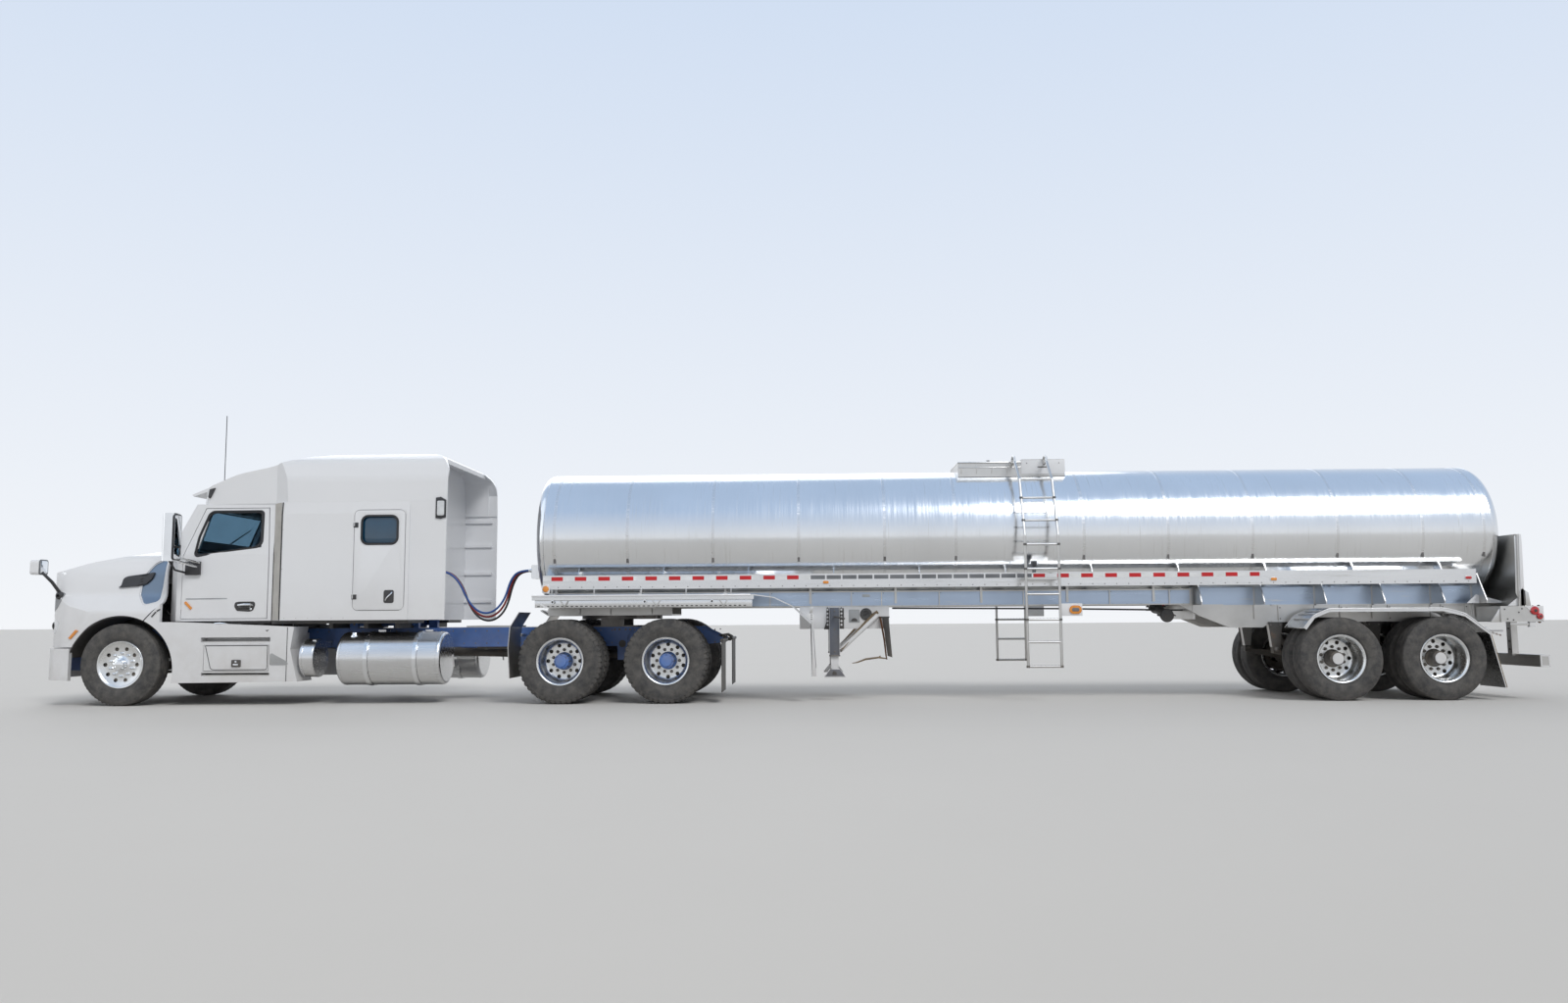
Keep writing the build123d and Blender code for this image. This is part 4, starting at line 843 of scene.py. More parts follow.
def tyre_mesh(name, radius, pitches, fractions, depth):
    """A tyre turned from its profile, with notches cut across its shoulders."""
    profile = tyre_profile(radius)
    angles = [(p + f) / pitches for p in range(pitches) for f in fractions]
    points = []
    for i, turn in enumerate(angles):
        a = 2 * math.pi * turn
        notched = len(fractions) == 4 and 0 < i % 4 < 3
        for r, w in profile:
            if notched and r > radius - 40 and abs(w) > 60:
                r -= depth * min(1, (abs(w) - 60) / 20)
            points.append((r * math.sin(a), w, r * math.cos(a)))
    n, m = len(profile), len(angles)
    faces = []
    for k in range(m):
        a, b = k * n, ((k + 1) % m) * n
        faces += [(a + i, a + (i + 1) % n, b + (i + 1) % n, b + i) for i in range(n)]
    return Form().patch(points, faces).mesh(name, [TYRE], local=True, smooth=40)


TYRES = {
    "steer": tyre_mesh("steer_tyre", STEER_R, 60, (0, 0.35, 0.6, 0.95), 4),
    "drive": tyre_mesh("drive_tyre", DRIVE_R, 46, (0, 0.08, 0.40, 0.48), 13),
    "trailer": tyre_mesh("trailer_tyre", TRAILER_R, 110, (0,), 0),
}


def holed(name, profile, low, high):
    """A turned rim with hand holes through its disc."""
    rim = linked(
        name, Form().turned(profile, NO_OFFSET, "y", 80, closed=True).mesh(name, [RIM], local=True, smooth=36),
    )
    cutters = Form()
    for i in range(HOLES):
        a = 2 * math.pi * (i + 0.5) / HOLES
        x, z = 203 * math.sin(a), 203 * math.cos(a)
        cutters.bar((x, low, z), (x, high, z), 25, 18)
    data = smoothed(merged(rim, linked("cutter", cutters.mesh("cutter", [RIM], local=True)), "DIFFERENCE").data)
    bpy.data.objects.remove(rim)
    return data


def rim_side(flange, disc):
    """One side of a rim from its lip to the disc, as (radius, distance out)."""
    lip = ((298, 0), (298, 8), (294, 12), (286, 12), (277, 8), (270, -2), (263, -16))
    dish = ((260, 70), (255, 40), (246, 20), (233, 8), (216, 1), (196, 0), (112, 0))
    return [(r, flange + w) for r, w in lip] + [(r, disc + w) for r, w in dish]


def steer_wheel_mesh():
    outer = rim_side(105.4, 82)[:6] + [(262, 100), (252, 97), (238, 93), (220, 86), (196, 82), (112, 82), (86, 84)]
    back = [(86, 70), (112, 68), (196, 68), (232, 76), (262, 84), (262, -90), (262, -117), (294, -117)]
    back += [(298, -113), (298, -105.4), (285.7, -105.4), (285.7, 105.4)]
    return holed("steer_rim", outer + back, 50, 130)


def twin_wheel_mesh():
    side = rim_side(276.9, 24)
    seat = [(285.7, -276.9), (285.7, -66), (285.7, 66), (285.7, 276.9)]
    return holed("twin_rim", side + [(r, -w) for r, w in reversed(side)] + seat, -60, 60)


def nuts(form, ring, face, height, across, count=10, bare=True):
    for i in range(count):
        a = 2 * math.pi * i / count
        place = (ring * math.sin(a), face, ring * math.cos(a))
        form.bolt(place, "y", 1, across, height)
        if bare:
            stud = [(11, height), (11, height + 12), (8, height + 15), (TIP, height + 15)]
            form.turned(stud, place, "y", 10)
    return form


def hub_form(drum, hub, face):
    """A brake drum, a hub and the wheel's nuts on its disc."""
    form = Form().use(1).turned(drum, NO_OFFSET, "y", 48, closed=True)
    return nuts(form.use(2).turned(hub, NO_OFFSET, "y", 40).use(3), 142.9, face, 26, 33)


TWIN_DRUM = [(200, -190), (215, -190), (215, -26), (110, -24), (110, -60), (200, -60)]
drum = [(200, -60), (215, -60), (215, 62), (118, 66), (60, 66), (60, 50), (200, 50)]
hub = [(60, 66), (112, 70), (112, 84), (94, 88), (80, 96), (76, 112), (66, 118), (64, 138), (60, 146), (50, 150)]
form = nuts(hub_form(drum, hub + [(TIP, 150)], 82), 54, 150, 5, 11, 6, False)
HUBS = {"steer": form.mesh("steer_hub", [RIM, DRUM, CHROME, CHROME], local=True)}
hub = [(112, 20), (112, 30), (106, 44), (94, 60), (92, 196), (88, 203), (72, 206), (70, 226), (64, 232), (40, 235)]
form = hub_form(TWIN_DRUM, hub + [(TIP, 235)], 24)
nuts(form.use(2), 82, 203, 9, 15, 8, False)
for i in range(8):
    x, z = (93 * f(2 * math.pi * i / 8) for f in (math.sin, math.cos))
    form.use(1).bar((x, 60, z), (x, 196, z), 6, 6)
HUBS["drive"] = form.mesh("drive_hub", [RIM, DRUM, HUB_BLUE, STEEL], local=True)
hub = [(112, 20), (112, 30), (104, 46), (92, 60), (88, 150), (86, 168), (72, 172), (70, 190)]
form = hub_form(TWIN_DRUM, hub, 24)
form.use(4).turned([(70, 172), (70, 192), (64, 198), (46, 200), (TIP, 200)], NO_OFFSET, "y", 36)
nuts(form.use(2), 78, 168, 8, 13, 6, False)
HUBS["trailer"] = form.mesh("trailer_hub", [RIM, DRUM, DARK, STEEL, WHITE], local=True)
RIMS = {"steer": steer_wheel_mesh(), "twin": twin_wheel_mesh()}


def set_wheel(label, kind, rim, x, radius, y, tyres, side, body, turn=0.0):
    """A wheel's rim, hub and tyres, the rim standing for the wheel's node."""
    parts = [(f"rim_{label}", RIMS[rim], y), (f"hub_{label}", HUBS[kind], y)]
    for name, mesh, across in parts + [(f"tyre_{label}{end}", TYRES[kind], y + offset) for end, offset in tyres]:
        piece = linked(name, mesh)
        facing = Matrix.Rotation(0 if side > 0 else math.pi, 4, "Z")
        piece.matrix_world = Matrix.Translation(at(x, side * across, radius)) @ Matrix.Rotation(turn, 4, "Y") @ facing
        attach(piece, body)
        if mesh is RIMS[rim]:
            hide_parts(body)


TWINS = (("_outer", TWIN_HALF), ("_inner", -TWIN_HALF))
for name, side in SIDES:
    set_wheel(f"front_{name}", "steer", "steer", 0, STEER_R, STEER_Y, (("", 0),), side, f"wheel_front_{name}")
    for kind, radius, places in (("drive", DRIVE_R, DRIVE_X), ("trailer", TRAILER_R, TRAILER_X)):
        for i, x in enumerate(places):
            label = f"{kind}{i + 1}_{name}"
            set_wheel(label, kind, "twin", x, radius, TWIN_Y, TWINS, side, f"wheel_{label}", math.pi / 2 * i)

# Hood, bumper, roof and bunk doors, shaped as their solids are but with the pressed panels' round corners

WIDE = 1320  # half the width of a cutter that passes through the whole cab
ARC_STEPS = 7


def shaped(outline, axis, low, high):
    return linked("shape", Form().prism(outline, axis, low, high).mesh("shape", [WHITE]))


def cut(piece, outline, axis, low, high, how="DIFFERENCE"):
    """The piece cut by, or kept inside, an outline with round corners."""
    return merged(piece, shaped(cornered(outline, ARC_STEPS), axis, low, high), how)


def drawn_in(points, inset):
    """The outline moved inward, with its corner radii kept true to it."""
    if not inset:
        return cornered(points, ARC_STEPS)
    n = len(points)
    turn = sum(points[i - 1][0] * points[i][1] - points[i][0] * points[i - 1][1] for i in range(n))
    sign = 1 if turn > 0 else -1
    out = []
    for i, p in enumerate(points):
        here = Vector(p[:2])
        u = (here - Vector(points[i - 1][:2])).normalized()
        v = (Vector(points[(i + 1) % n][:2]) - here).normalized()
        normal = Vector((-(u.y + v.y), u.x + v.x)).normalized() * sign
        reach = inset / max(0.3, normal.dot(Vector((-u.y, u.x)) * sign))
        convex = (u.x * v.y - u.y * v.x) * sign > 0
        moved = here + normal * reach
        radius = p[2] if len(p) > 2 else 0
        radius = (radius - inset if convex else radius + inset) if radius else 0
        out.append((moved.x, moved.y, radius) if radius > 5 else (moved.x, moved.y))
    return cornered(out, ARC_STEPS)


def both_sides(points, flip):
    """Half an outline and its mirror image, in its first value with flip and else in its second."""
    other = [p for p in reversed(points) if p[0 if flip else 1]]
    return points + [((-p[0], *p[1:]) if flip else (p[0], -p[1], *p[2:])) for p in other]


def three_way(side, front, plan, inset=0):
    """What lies inside the outlines from the side, the front and above."""
    piece = shaped(drawn_in(side, inset), "y", -WIDE, WIDE)
    piece = merged(piece, shaped(drawn_in(both_sides(front, True), inset), "x", -1500, 4400), "INTERSECT")
    return merged(piece, shaped(drawn_in(both_sides(plan, False), inset), "z", 200, 3500), "INTERSECT")


def hood_form(inset):
    d = 200 if inset else 0
    low = 735 - d
    side = [(-1160, low), (-1165, 952, 200), (-1200, 1300, 500), (-1200, 1530, 120), (-1120, 1650, 160)]
    side += [
        (-592, 1815, 1800), (150, 1960, 2400), (415 + d, 1985), (488 + d, 1292, 60), (288 + d, 1074), (288 + d, low),
    ]
    front = [(-1190, low), (-1190, 1180, 110), (-1100, 1290, 130), (-1010, 1400, 160), (-950, 1700, 500)]
    front += [(-860, 1890, 170), (-560, 1990, 700), (0, 2010)]
    plan = [(-1200, 0), (-1200, -420, 700), (-1140, -720, 450), (-1010, -950, 380), (-760, -1120, 500)]
    return three_way(side, front, plan + [(-400, -1190), (600 + d, -1190), (600 + d, 0)], inset)


def roof_form(inset):
    low = 2550.3 - 4 * inset
    side = [(832, low), (895, 2690, 40), (983, 2780, 150), (1352, 2938, 1200), (1762, 3020, 1500), (2195, 3153, 1500)]
    side += [(2742, 3215, 3000), (3431, 3224, 3000), (4040, 3179, 300), (4120, 2950, 150), (4120, low)]
    front = [(-1200, low), (-1180, 2850, 400), (-1090, 3080, 220), (-880, 3200, 500), (0, 3230)]
    plan = [(832, 0), (832, -820, 120), (960, -1010, 150), (1860, -1020), (2091, -1200), (4120, -1200), (4120, 0)]
    return three_way(side, front, plan, inset)


def finished(piece, name, finish, node, body, bevel=0.0):
    """The cut piece as the look of a node."""
    piece.name = name
    piece.data.materials.clear()
    piece.data.materials.append(finish)
    piece.data.polygons.foreach_set("material_index", [0] * len(piece.data.polygons))
    if bevel:
        soften(piece, bevel)
    smoothed(piece.data, 26)
    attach(piece, body)
    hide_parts(node)
    trees[node] = surface(piece)


LAMP_OUTLINE = [(-1400, 880), (-1400, 1120), (-1000, 1110, 40), (-865, 1050, 30), (-950, 900, 60)]
ROUND_GRILLE = [(-400, 800, 40), (-440, 1500, 60), (440, 1500, 60), (400, 800, 40)]
shell = hood_form(0)
for side in (-1, 1):
    scoop = shaped(cornered(SCOOP, ARC_STEPS), "y", *sorted((side * 600, side * WIDE)))
    shell = merged(shell, merged(scoop, hood_form(20), "DIFFERENCE"), "DIFFERENCE")
shell = merged(shell, hood_form(35), "DIFFERENCE")
shell = cut(shell, arc(0, 440, 690, 0, 356.25, 95), "y", -WIDE, WIDE)
lamps = cut(linked(shell.name, shell.data.copy()), LAMP_OUTLINE, "y", -WIDE, WIDE, "INTERSECT")
lamps = cut(lamps, [(-560, 700), (-560, 1300), (560, 1300), (560, 700)], "x", -1500, 0)
for side in (-1, 1):
    shell = cut(shell, LAMP_OUTLINE, "y", *sorted((side * 560, side * WIDE)))
shell = cut(shell, ROUND_GRILLE, "x", -1400, -1050)
finished(shell, "hood_panel", WHITE, "hood", "hood")
finished(lamps, "headlamp_lenses", LAMP, "headlamps", "hood")

half = [(-1150, 0), (-1150, -480, 500), (-1100, -860, 350), (-930, -1110, 250), (-640, -1190)]
edge = [(-1110, 330, 30), (-1150, 420, 60), (-1150, 722, 30), (-640, 722), (-640, 318)]
bumper = cut(shaped(cornered(edge), "y", -WIDE, WIDE), both_sides(half, False), "z", 300, 730, "INTERSECT")
hollow = drawn_in(both_sides(half[:-1] + [(-560, -1190), (-560, 0)], False), 45)
bumper = merged(bumper, shaped(hollow, "z", 290, 740), "DIFFERENCE")
bumper = cut(bumper, [(-330, 460, 60), (-330, 640, 40), (330, 640, 40), (330, 460, 60)], "x", -1200, -1000)
finished(bumper, "bumper_panel", WHITE, "bumper", "tractor")

room = cut(roof_form(45), [(-WIDE, 2000), (WIDE, 2000), (WIDE, 3400), (-WIDE, 3400)], "x", 3600, 3660)
roof = merged(roof_form(0), room, "DIFFERENCE")
opening = [(-1155, 2400), (1155, 2400), (1155, 2850), (1040, 3050), (860, 3140)]
roof = cut(roof, opening + [(-y, z) for y, z in reversed(opening[2:])], "x", 4000, 4200)
visor = shaped(cornered([(672, 2691, 8), (690, 2668, 8), (975, 2762), (1040, 2800), (942, 2803, 60)]), "y", -860, 860)
finished(merged(roof, visor, "UNION"), "roof_panel", WHITE, "roof_cap", "tractor")

for name, side in SIDES:
    low, high = sorted((side * 1160, side * 1220))
    door = shaped(
        cornered([(2962, 1179, 63), (2962, 2437, 63), (3605, 2437, 63), (3605, 1179, 63)], 8), "y", low, high,
    )
    door = merged(door, shaped(rounded(3055, 3514, 2009, 2365, 80), "y", low - 20, high + 20), "DIFFERENCE")
    finished(door, f"sleeper_door_panel_{name}", WHITE, f"sleeper_door_{name}", f"sleeper_door_{name}", 2)
    fill = Form()
    corners = ((3032, 1249, 2955, 1172), (3032, 2367, 2955, 2444), (3535, 2367, 3615, 2444), (3535, 1249, 3615, 1172))
    for cx, cz, x, z in corners:
        sx, sz = (1 if x > cx else -1), (1 if z > cz else -1)
        bow = [(cx + sx * a, cz + sz * b) for a, b in arc(0, 0, 77, 0, 90, 8)]
        fill.prism([(x, z)] + bow, "y", low, high)
    fill.place(f"sleeper_corners_{name}", [WHITE], "tractor")

# Hood trim

LINER_SECTION = ((1172, 688), (1172, 676), (1150, 680), (900, 684), (600, 684), (600, 688))  # y, radius
OUT = (0, 1, 0)
FUEL_TANK = (857, 570)  # y and z of the tank's middle
LID_TOP = 3084
VALVE_X = 13300
REAR_X = 17700  # the rear plate's face
REAR_LAMP = [(46, 0), (46, 4), (40, 10), (TIP, 14)]
BRAKE_CHAMBER = [(TIP, -4), (70, 0), (86, 20), (86, 60), (92, 64), (92, 76), (86, 80), (86, 120)]
BRAKE_CHAMBER += [(66, 140), (TIP, 142)]


def arch_liner(name, side, first, last, body):
    """Part of the round liner over a steered wheel, between two angles from the rear."""
    rings = [arc(0, 440, r, first, last, 28) for _, r in LINER_SECTION]
    points = [(ring[i][0], y, ring[i][1]) for i in range(29) for (y, _), ring in zip(LINER_SECTION, rings)]
    faces = [(5, 4, 3, 2, 1, 0), tuple(168 + k for k in range(6))]
    for a in range(0, 168, 6):
        faces += [(a + k, a + (k + 1) % 6, a + 6 + (k + 1) % 6, a + 6 + k) for k in range(6)]
    Form(side).patch(points, faces).place(name, [BLACK], body)


RECESS_LINE = shrunk(cornered(SCOOP), 0.965)
BEZEL_LINE = [
    (-158, 1490), (-118, 1512), (-104, 1600), (-70, 1632), (100, 1656), (279, 1686), (255, 1605), (190, 1536),
    (95, 1504),
]
FOOT_LINE = [
    (-832, 1418), (-862, 1436), (-980, 1400), (-1028, 1360), (-1036, 1300), (-1024, 1186), (-950, 1222), (-862, 1322),
]

for name, side in SIDES:
    form = Form(side)
    # The skin in the side recess carries the dark blue-grey painted shade
    form.use(0).skin("hood", RECESS_LINE, 1, 24, 8)
    form.use(5).tube(trace("hood", RECESS_LINE + RECESS_LINE[:1], side, 1, 2, 1150), 7, 8)
    form.use(1).skin("hood", soft_corners(BEZEL_LINE, 14), 24, 12, 14)
    form.use(2).skin("hood", [(-692, 846), (-655, 838), (-548, 944), (-586, 958)], 14, 8, 4)
    form.use(3).skin("hood", soft_corners(FOOT_LINE, 16), 3, 16, 6)
    form.use(4).turned([(44, 0), (52, 14), (50, 46), (36, 64), (18, 70)], (-905, 985, 1392), "y", 24)
    form.place(f"hood_trim_{name}", [RECESS_SHADE, DARK, AMBER, LIGHT_GREY, BLACK, WHITE], "hood", bevel=1.5)
    arch_liner(f"arch_liner_{name}", side, 66, 166, "hood")
    arch_liner(f"arch_liner_rear_{name}", side, 14, 64.6, "tractor")
    edge = Form(side)
    for a, b, c, d in ((398, 1112, 452, 1176), (462, 1184, 506, 1208)):
        edge.ribbon([(a, 1190, b), (c, 1190, d)], OUT, 16, 8)
    line = trace("cab_shell", [(430, 1196), (484, 1130)], side, 1, 2, 900)
    edge.ribbon(line, (-0.7, 0.7, 0), 16, 6)
    edge.place(f"fairing_edge_{name}", [DARK], "tractor", bevel=1.5)
    glass = Form()
    y = side * 1140
    glass.use(1).prism(rounded(y - 84, y + 84, 1652, 1848, 34), "x", -1064, -1050)
    glass.use(0).prism(rounded(y - 68, y + 68, 1668, 1832, 24), "x", -1052, -1046)
    stalk = [(-908, side * 990, 1408), (-960, side * 1100, 1560), (-1052, side * 1174, 1688)]
    glass.use(2).tube(stalk, [21, 20, 17.5], 12)
    glass.place(f"hood_mirror_glass_{name}", [MIRROR, GREY, BLACK], "hood", bevel=2)

form = Form()
loop = shrunk(cornered(GRILLE, 6), 1.012)
spread = []
for (a, b), (c, d) in zip(loop, loop[1:] + loop[:1]):
    n = 1 + int(math.hypot(c - a, d - b) / 60)
    spread += [(a + (c - a) * i / n, b + (d - b) * i / n) for i in range(n)]
last = -1190
line = []
for y, z in spread:
    last = front_x("hood", y * 1.035, z + (12 if z > 1500 else -6 if z < 800 else 0), last)
    line.append((last - 2, y, z))
form.tube(line, 13, 10, closed=True)
for z in range(824, 1500, 56):
    for y in (-408, 408):
        form.use(1).bolt((-1192, y * (1 + (z - 800) * 0.00014), z + 28), "x", -1, 9, 4)
form.place("grille_surround", [CHROME, STEEL], "hood")
form = Form()
for side in form.sides():
    seam = trace("hood", [(-1120, 742), (-1000, 742), (-860, 742), (-760, 742), (-680, 742)], side, -6, 5, 500)
    form.use(0).ribbon(seam, OUT, 16, 5)
    for k in range(4):
        form.use(1).dome((-1130 + 12 * k + 30 * (k > 1), 660 + 62 * k, 1008), 42, "x", -1, 16, 20)
        form.use(2).ring(46, 52, -6, 6, (-1124 + 12 * k + 30 * (k > 1), 660 + 62 * k, 1008), "x", 24)
form.place("headlamp_bowls", [GASKET, CHROME, DARK], "hood")

# Cab body

form = Form()
line = [(580 + (z - 2057) * 244 / 493, y, z) for y, z in cornered(SCREEN, 6)]
form.use(0).tube(line, 12, 8, closed=True)
for _ in form.sides():
    pivot = (566, 300, 2062)
    tip = (690, 700, 2330)
    form.use(1).tube([pivot, (560, 420, 2130), (636, 610, 2262), tip], [9, 8, 6, 5], 8)
    form.use(1).turned([(18, -20), (22, -16), (22, 10), (10, 20), (TIP, 20)], pivot, "x", 16, sign=-1)
    blade = [(610 + 110 * t - 6, (420 + 300 * t), 2160 + 190 * t) for t in (0, 0.25, 0.5, 0.75, 1)]
    form.use(0).tube([(x - 14, y, z) for x, y, z in blade], 5, 6)
form.place("windscreen_trim", [GASKET, BLACK], "tractor")

form = Form()
for y in (-640, -320, 0, 320, 640):
    x = front_x("roof_cap", y, 2830, 1000)
    form.use(0).prism(rounded(y - 40, y + 40, 2812, 2846, 14), "x", x - 20, x + 12)
    form.use(1).prism(rounded(y - 50, y + 50, 2804, 2854, 18), "x", x - 5, x + 14)
for _ in form.sides():
    form.use(1).skin("roof_cap", [(961, 2640), (985, 2752), (1061, 2760), (1030, 2690), (990, 2625)], 22, 8, 4, 1000)
form.place("roof_lamps", [AMBER, BLACK], "tractor", bevel=2)

for name, side in SIDES:
    door = f"door_{name}"
    form = Form(side)
    corners = cornered(PANE, 5)
    outer = [(1276 + (x - 1276) * 1.03, 2166 + (z - 2166) * 1.04) for x, z in corners]
    lines = (outer, shrunk(corners, 0.985))
    ring = [(x, 1060 - max(0, z - 1900) / 13 + out, z) for out in (3, -24) for line in lines for x, z in line]
    form.use(0).patch(ring, frame_faces(len(corners)))
    line = trace(door, outer + outer[:1], side, -2, 2, 1040)
    ring = [((x - 1300) * 1.018 + 1300, y, (z - 2190) * 1.03 + 2190) for x, y, z in line]
    form.use(0).tube(ring, 13, 8)
    form.use(2).skin(door, [(738, 1290), (762, 1308), (847, 1222), (826, 1199)], 12, 8, 4)
    # A light grey strip along the door's crease: painted shade of the crease
    crease_shade_strip = trace(door, [(757, 1338), (1288, 1340)], side, -1)
    form.use(5).ribbon(crease_shade_strip, OUT, 12, 5)
    cup = soft_corners(
        [
            (1383, 1240), (1395, 1292), (1440, 1300), (1640, 1300), (1655, 1262), (1630, 1188), (1590, 1171),
            (1420, 1180),
        ],
        20,
    )
    form.use(1).skin(door, cup, 4, 14, 10)
    form.use(3).tube(
        [(1425, 1066, 1246), (1450, 1092, 1256), (1530, 1098, 1262), (1600, 1092, 1262), (1622, 1066, 1254)],
        [9, 13, 14, 13, 9], 12,
    )
    form.use(3).turned([(13, 0), (13, 7), (9, 9), (TIP, 9)], (1600, 1062, 1205), "y", 16)
    form.use(1).block(752, 938, 1066, 1104, 1640, 1812)
    form.use(3).tube([(930, 1096, 1792), (800, 1240, 1840), (735, 1390, 1850)], 14, 10)
    form.use(1).tube([(760, 1094, 1668), (690, 1230, 1700), (700, 1390, 1812)], 13, 10)
    form.place(f"door_trim_{name}", [GASKET, BLACK, AMBER, CHROME, DARK, LIGHT_GREY], door, bevel=1.2)
    head = Form()
    y = side * 1400
    head.use(0).prism(rounded(y - 92, y + 92, 1812, 2388, 40), "x", 786, 800)
    head.use(1).prism(rounded(y - 78, y + 78, 1990, 2374, 26), "x", 799, 804)
    head.use(1).prism(rounded(y - 78, y + 78, 1826, 1972, 26), "x", 799, 804)
    head.place(f"mirror_glass_{name}", [BLACK, MIRROR], door, bevel=1.5)
    inner = Form(side)
    inner.use(0).block(900, 1740, 986, 1000, 1120, 1850)
    inner.use(1).block(1120, 1560, 900, 986, 1470, 1520)
    inner.use(1).prism([(1150, 1150), (1150, 1330), (1640, 1330), (1640, 1150)], "y", 925, 986)
    inner.use(2).bar((1560, 968, 1600), (1660, 968, 1600), 9)
    inner.place(f"door_lining_{name}", [DASH, BLACK, CHROME], door, bevel=8)

for name, side in SIDES:
    body = f"sleeper_door_{name}"
    form = Form(side)
    form.use(0).frame_ring(rounded(3043, 3526, 1997, 2377, 92), "y", 1217, 1227, 26)
    form.use(1).prism(rounded(3056, 3513, 2010, 2364, 79), "y", 1196, 1201)
    form.use(2).prism(rounded(3356, 3484, 1267, 1429, 24), "y", 1219, 1226)
    form.use(3).tube([(3380, 1224, 1300), (3400, 1240, 1330), (3450, 1240, 1380), (3462, 1224, 1400)], 9, 10)
    for z in (1345, 2250):
        form.use(2).block(2950, 3010, 1219, 1227, z - 30, z + 30)
    form.place(f"sleeper_door_trim_{name}", [GASKET, TINTED, BLACK, CHROME], body, bevel=1.2)
    lamp = Form(side)
    lamp.use(0).prism(
        [(3986, 2330), (3986, 2590), (4050, 2599), (4117, 2560), (4117, 2340), (4050, 2321)], "y", 1200, 1216,
    )
    lamp.use(1).prism(rounded(4004, 4096, 2362, 2550, 20), "y", 1198, 1219)
    lamp.place(f"work_lamp_{name}", [BLACK, LAMP], "tractor", bevel=3)
    seam = Form(side)
    for z in (1700, 2200):
        seam.use(1).bolt((2052, 1220, z), "y", 1, 10, 4)
    seam.use(0).ribbon([(2037, 1219, 1060), (2037, 1219, 2400), (2037, 1206, 2545)], OUT, 14, 3)
    seam.use(0).ribbon([(1862, 1049, 1060), (1862, 1049, 1900), (1862, 1000, 2545)], OUT, 12, 3)
    for x in range(2100, 3640, 150):
        if not 2940 < x < 3640:
            seam.use(1).dome((x, 1219.5, 1085), 6, "y", 1, 3, 8, 2)
    # The slope from the cab's side out to the sleeper's side, in grey-beige: painted shade on the white panel
    slope = [(1866, 1042), (2024, 1216), (2024, 1219), (1864, 1046)]
    seam.use(2).prism(slope, "z", 1062, 2544)
    seam.place(f"sleeper_seams_{name}", [GASKET, ALU, SLOPE_SHADE], "tractor")

# Fairings, steps and tanks

for name, side in SIDES:
    form = Form(side)
    for x0, x1, z0 in ((1042, 1920, 790), (1062, 1970, 370)):
        form.use(0).block(x0, x1, 1050, 1186, z0, z0 + 12)
        for x in range(x0 + 30, x1 - 20, 44):
            for y in (1075, 1105, 1135, 1165):
                form.use(0).dome((x, y, z0 + 12), 9, "z", 1, 5, 8, 2)
    form.use(1).tube(
        [(1191, 1120, 1010), (1205, 1180, 1022), (1265, 1186, 1026), (1326, 1180, 1022), (1340, 1120, 1010)], 12, 10,
    )
    form.use(2).ribbon([(2138, 1190, 300), (2138, 1190, 972)], OUT, 8, 2)
    # A light grey plate over the side fairing's triangular indent: painted shade of the indent
    form.use(4).skin(
        "side_fairings", cornered([(1925, 500, 20), (1925, 662, 20), (2120, 560, 40), (2190, 500, 20)], 4), 3, 12, 8,
        1190,
    )
    form.use(5).tube([(1769, 1140, 990), (1820, 1170, 948), (1880, 1180, 930), (1936, 1170, 962)], 14, 10)
    form.place(f"step_treads_{name}", [ALU, CHROME, GASKET, STEEL, LIGHT_GREY, DARK], "tractor")
    door = Form(side)
    door.use(1).prism(rounded(1446, 1561, 482, 570, 12), "y", 1190, 1206)
    door.use(0).block(1472, 1534, 1204, 1212, 500, 520)
    door.use(0).disc(13, 6, (1503, 1204, 545), "y", 14)
    door.use(2).frame_ring(shrunk(cornered(TOOLBOX), 0.99), "y", 1189, 1192, 8)
    door.place(f"toolbox_trim_{name}", [CHROME, BLACK, GASKET], f"toolbox_door_{name}", bevel=1)

for side in (-1, 1):
    form = Form(side)
    for x in (3124, 3742):
        form.use(0).ring(339, 343, -34, 34, (x, *FUEL_TANK), "x", 64)
        form.use(3).ring(343, 346, -22, 22, (x, *FUEL_TANK), "x", 64)
        form.use(2).bolt((x, 1057, 862), "z", 1, 16, 12)
    form.use(3).turned([(62, 300), (64, 334), (52, 356), (48, 372), (46, 378), (TIP, 378)], (2920, 990, 520), "z", 28)
    form.use(2).bar((2890, 990, 896), (2950, 990, 896), 6)
    for x in (2800, 4010):
        form.use(0).turned([(334, -3), (336.5, 0), (334, 3)], (x, *FUEL_TANK), "x", 64)
    form.use(3).disc(30, 14, (2425, 1040, 795), "z", 18)
    for x in (2310, 2441):
        form.use(0).ring(239.5, 243, -10, 10, (x, 940, 583), "x", 48)
    form.place(f"tank_trim_{side}", [BRIGHT, GASKET, STEEL, CHROME], "tractor")

# Seats and bunk


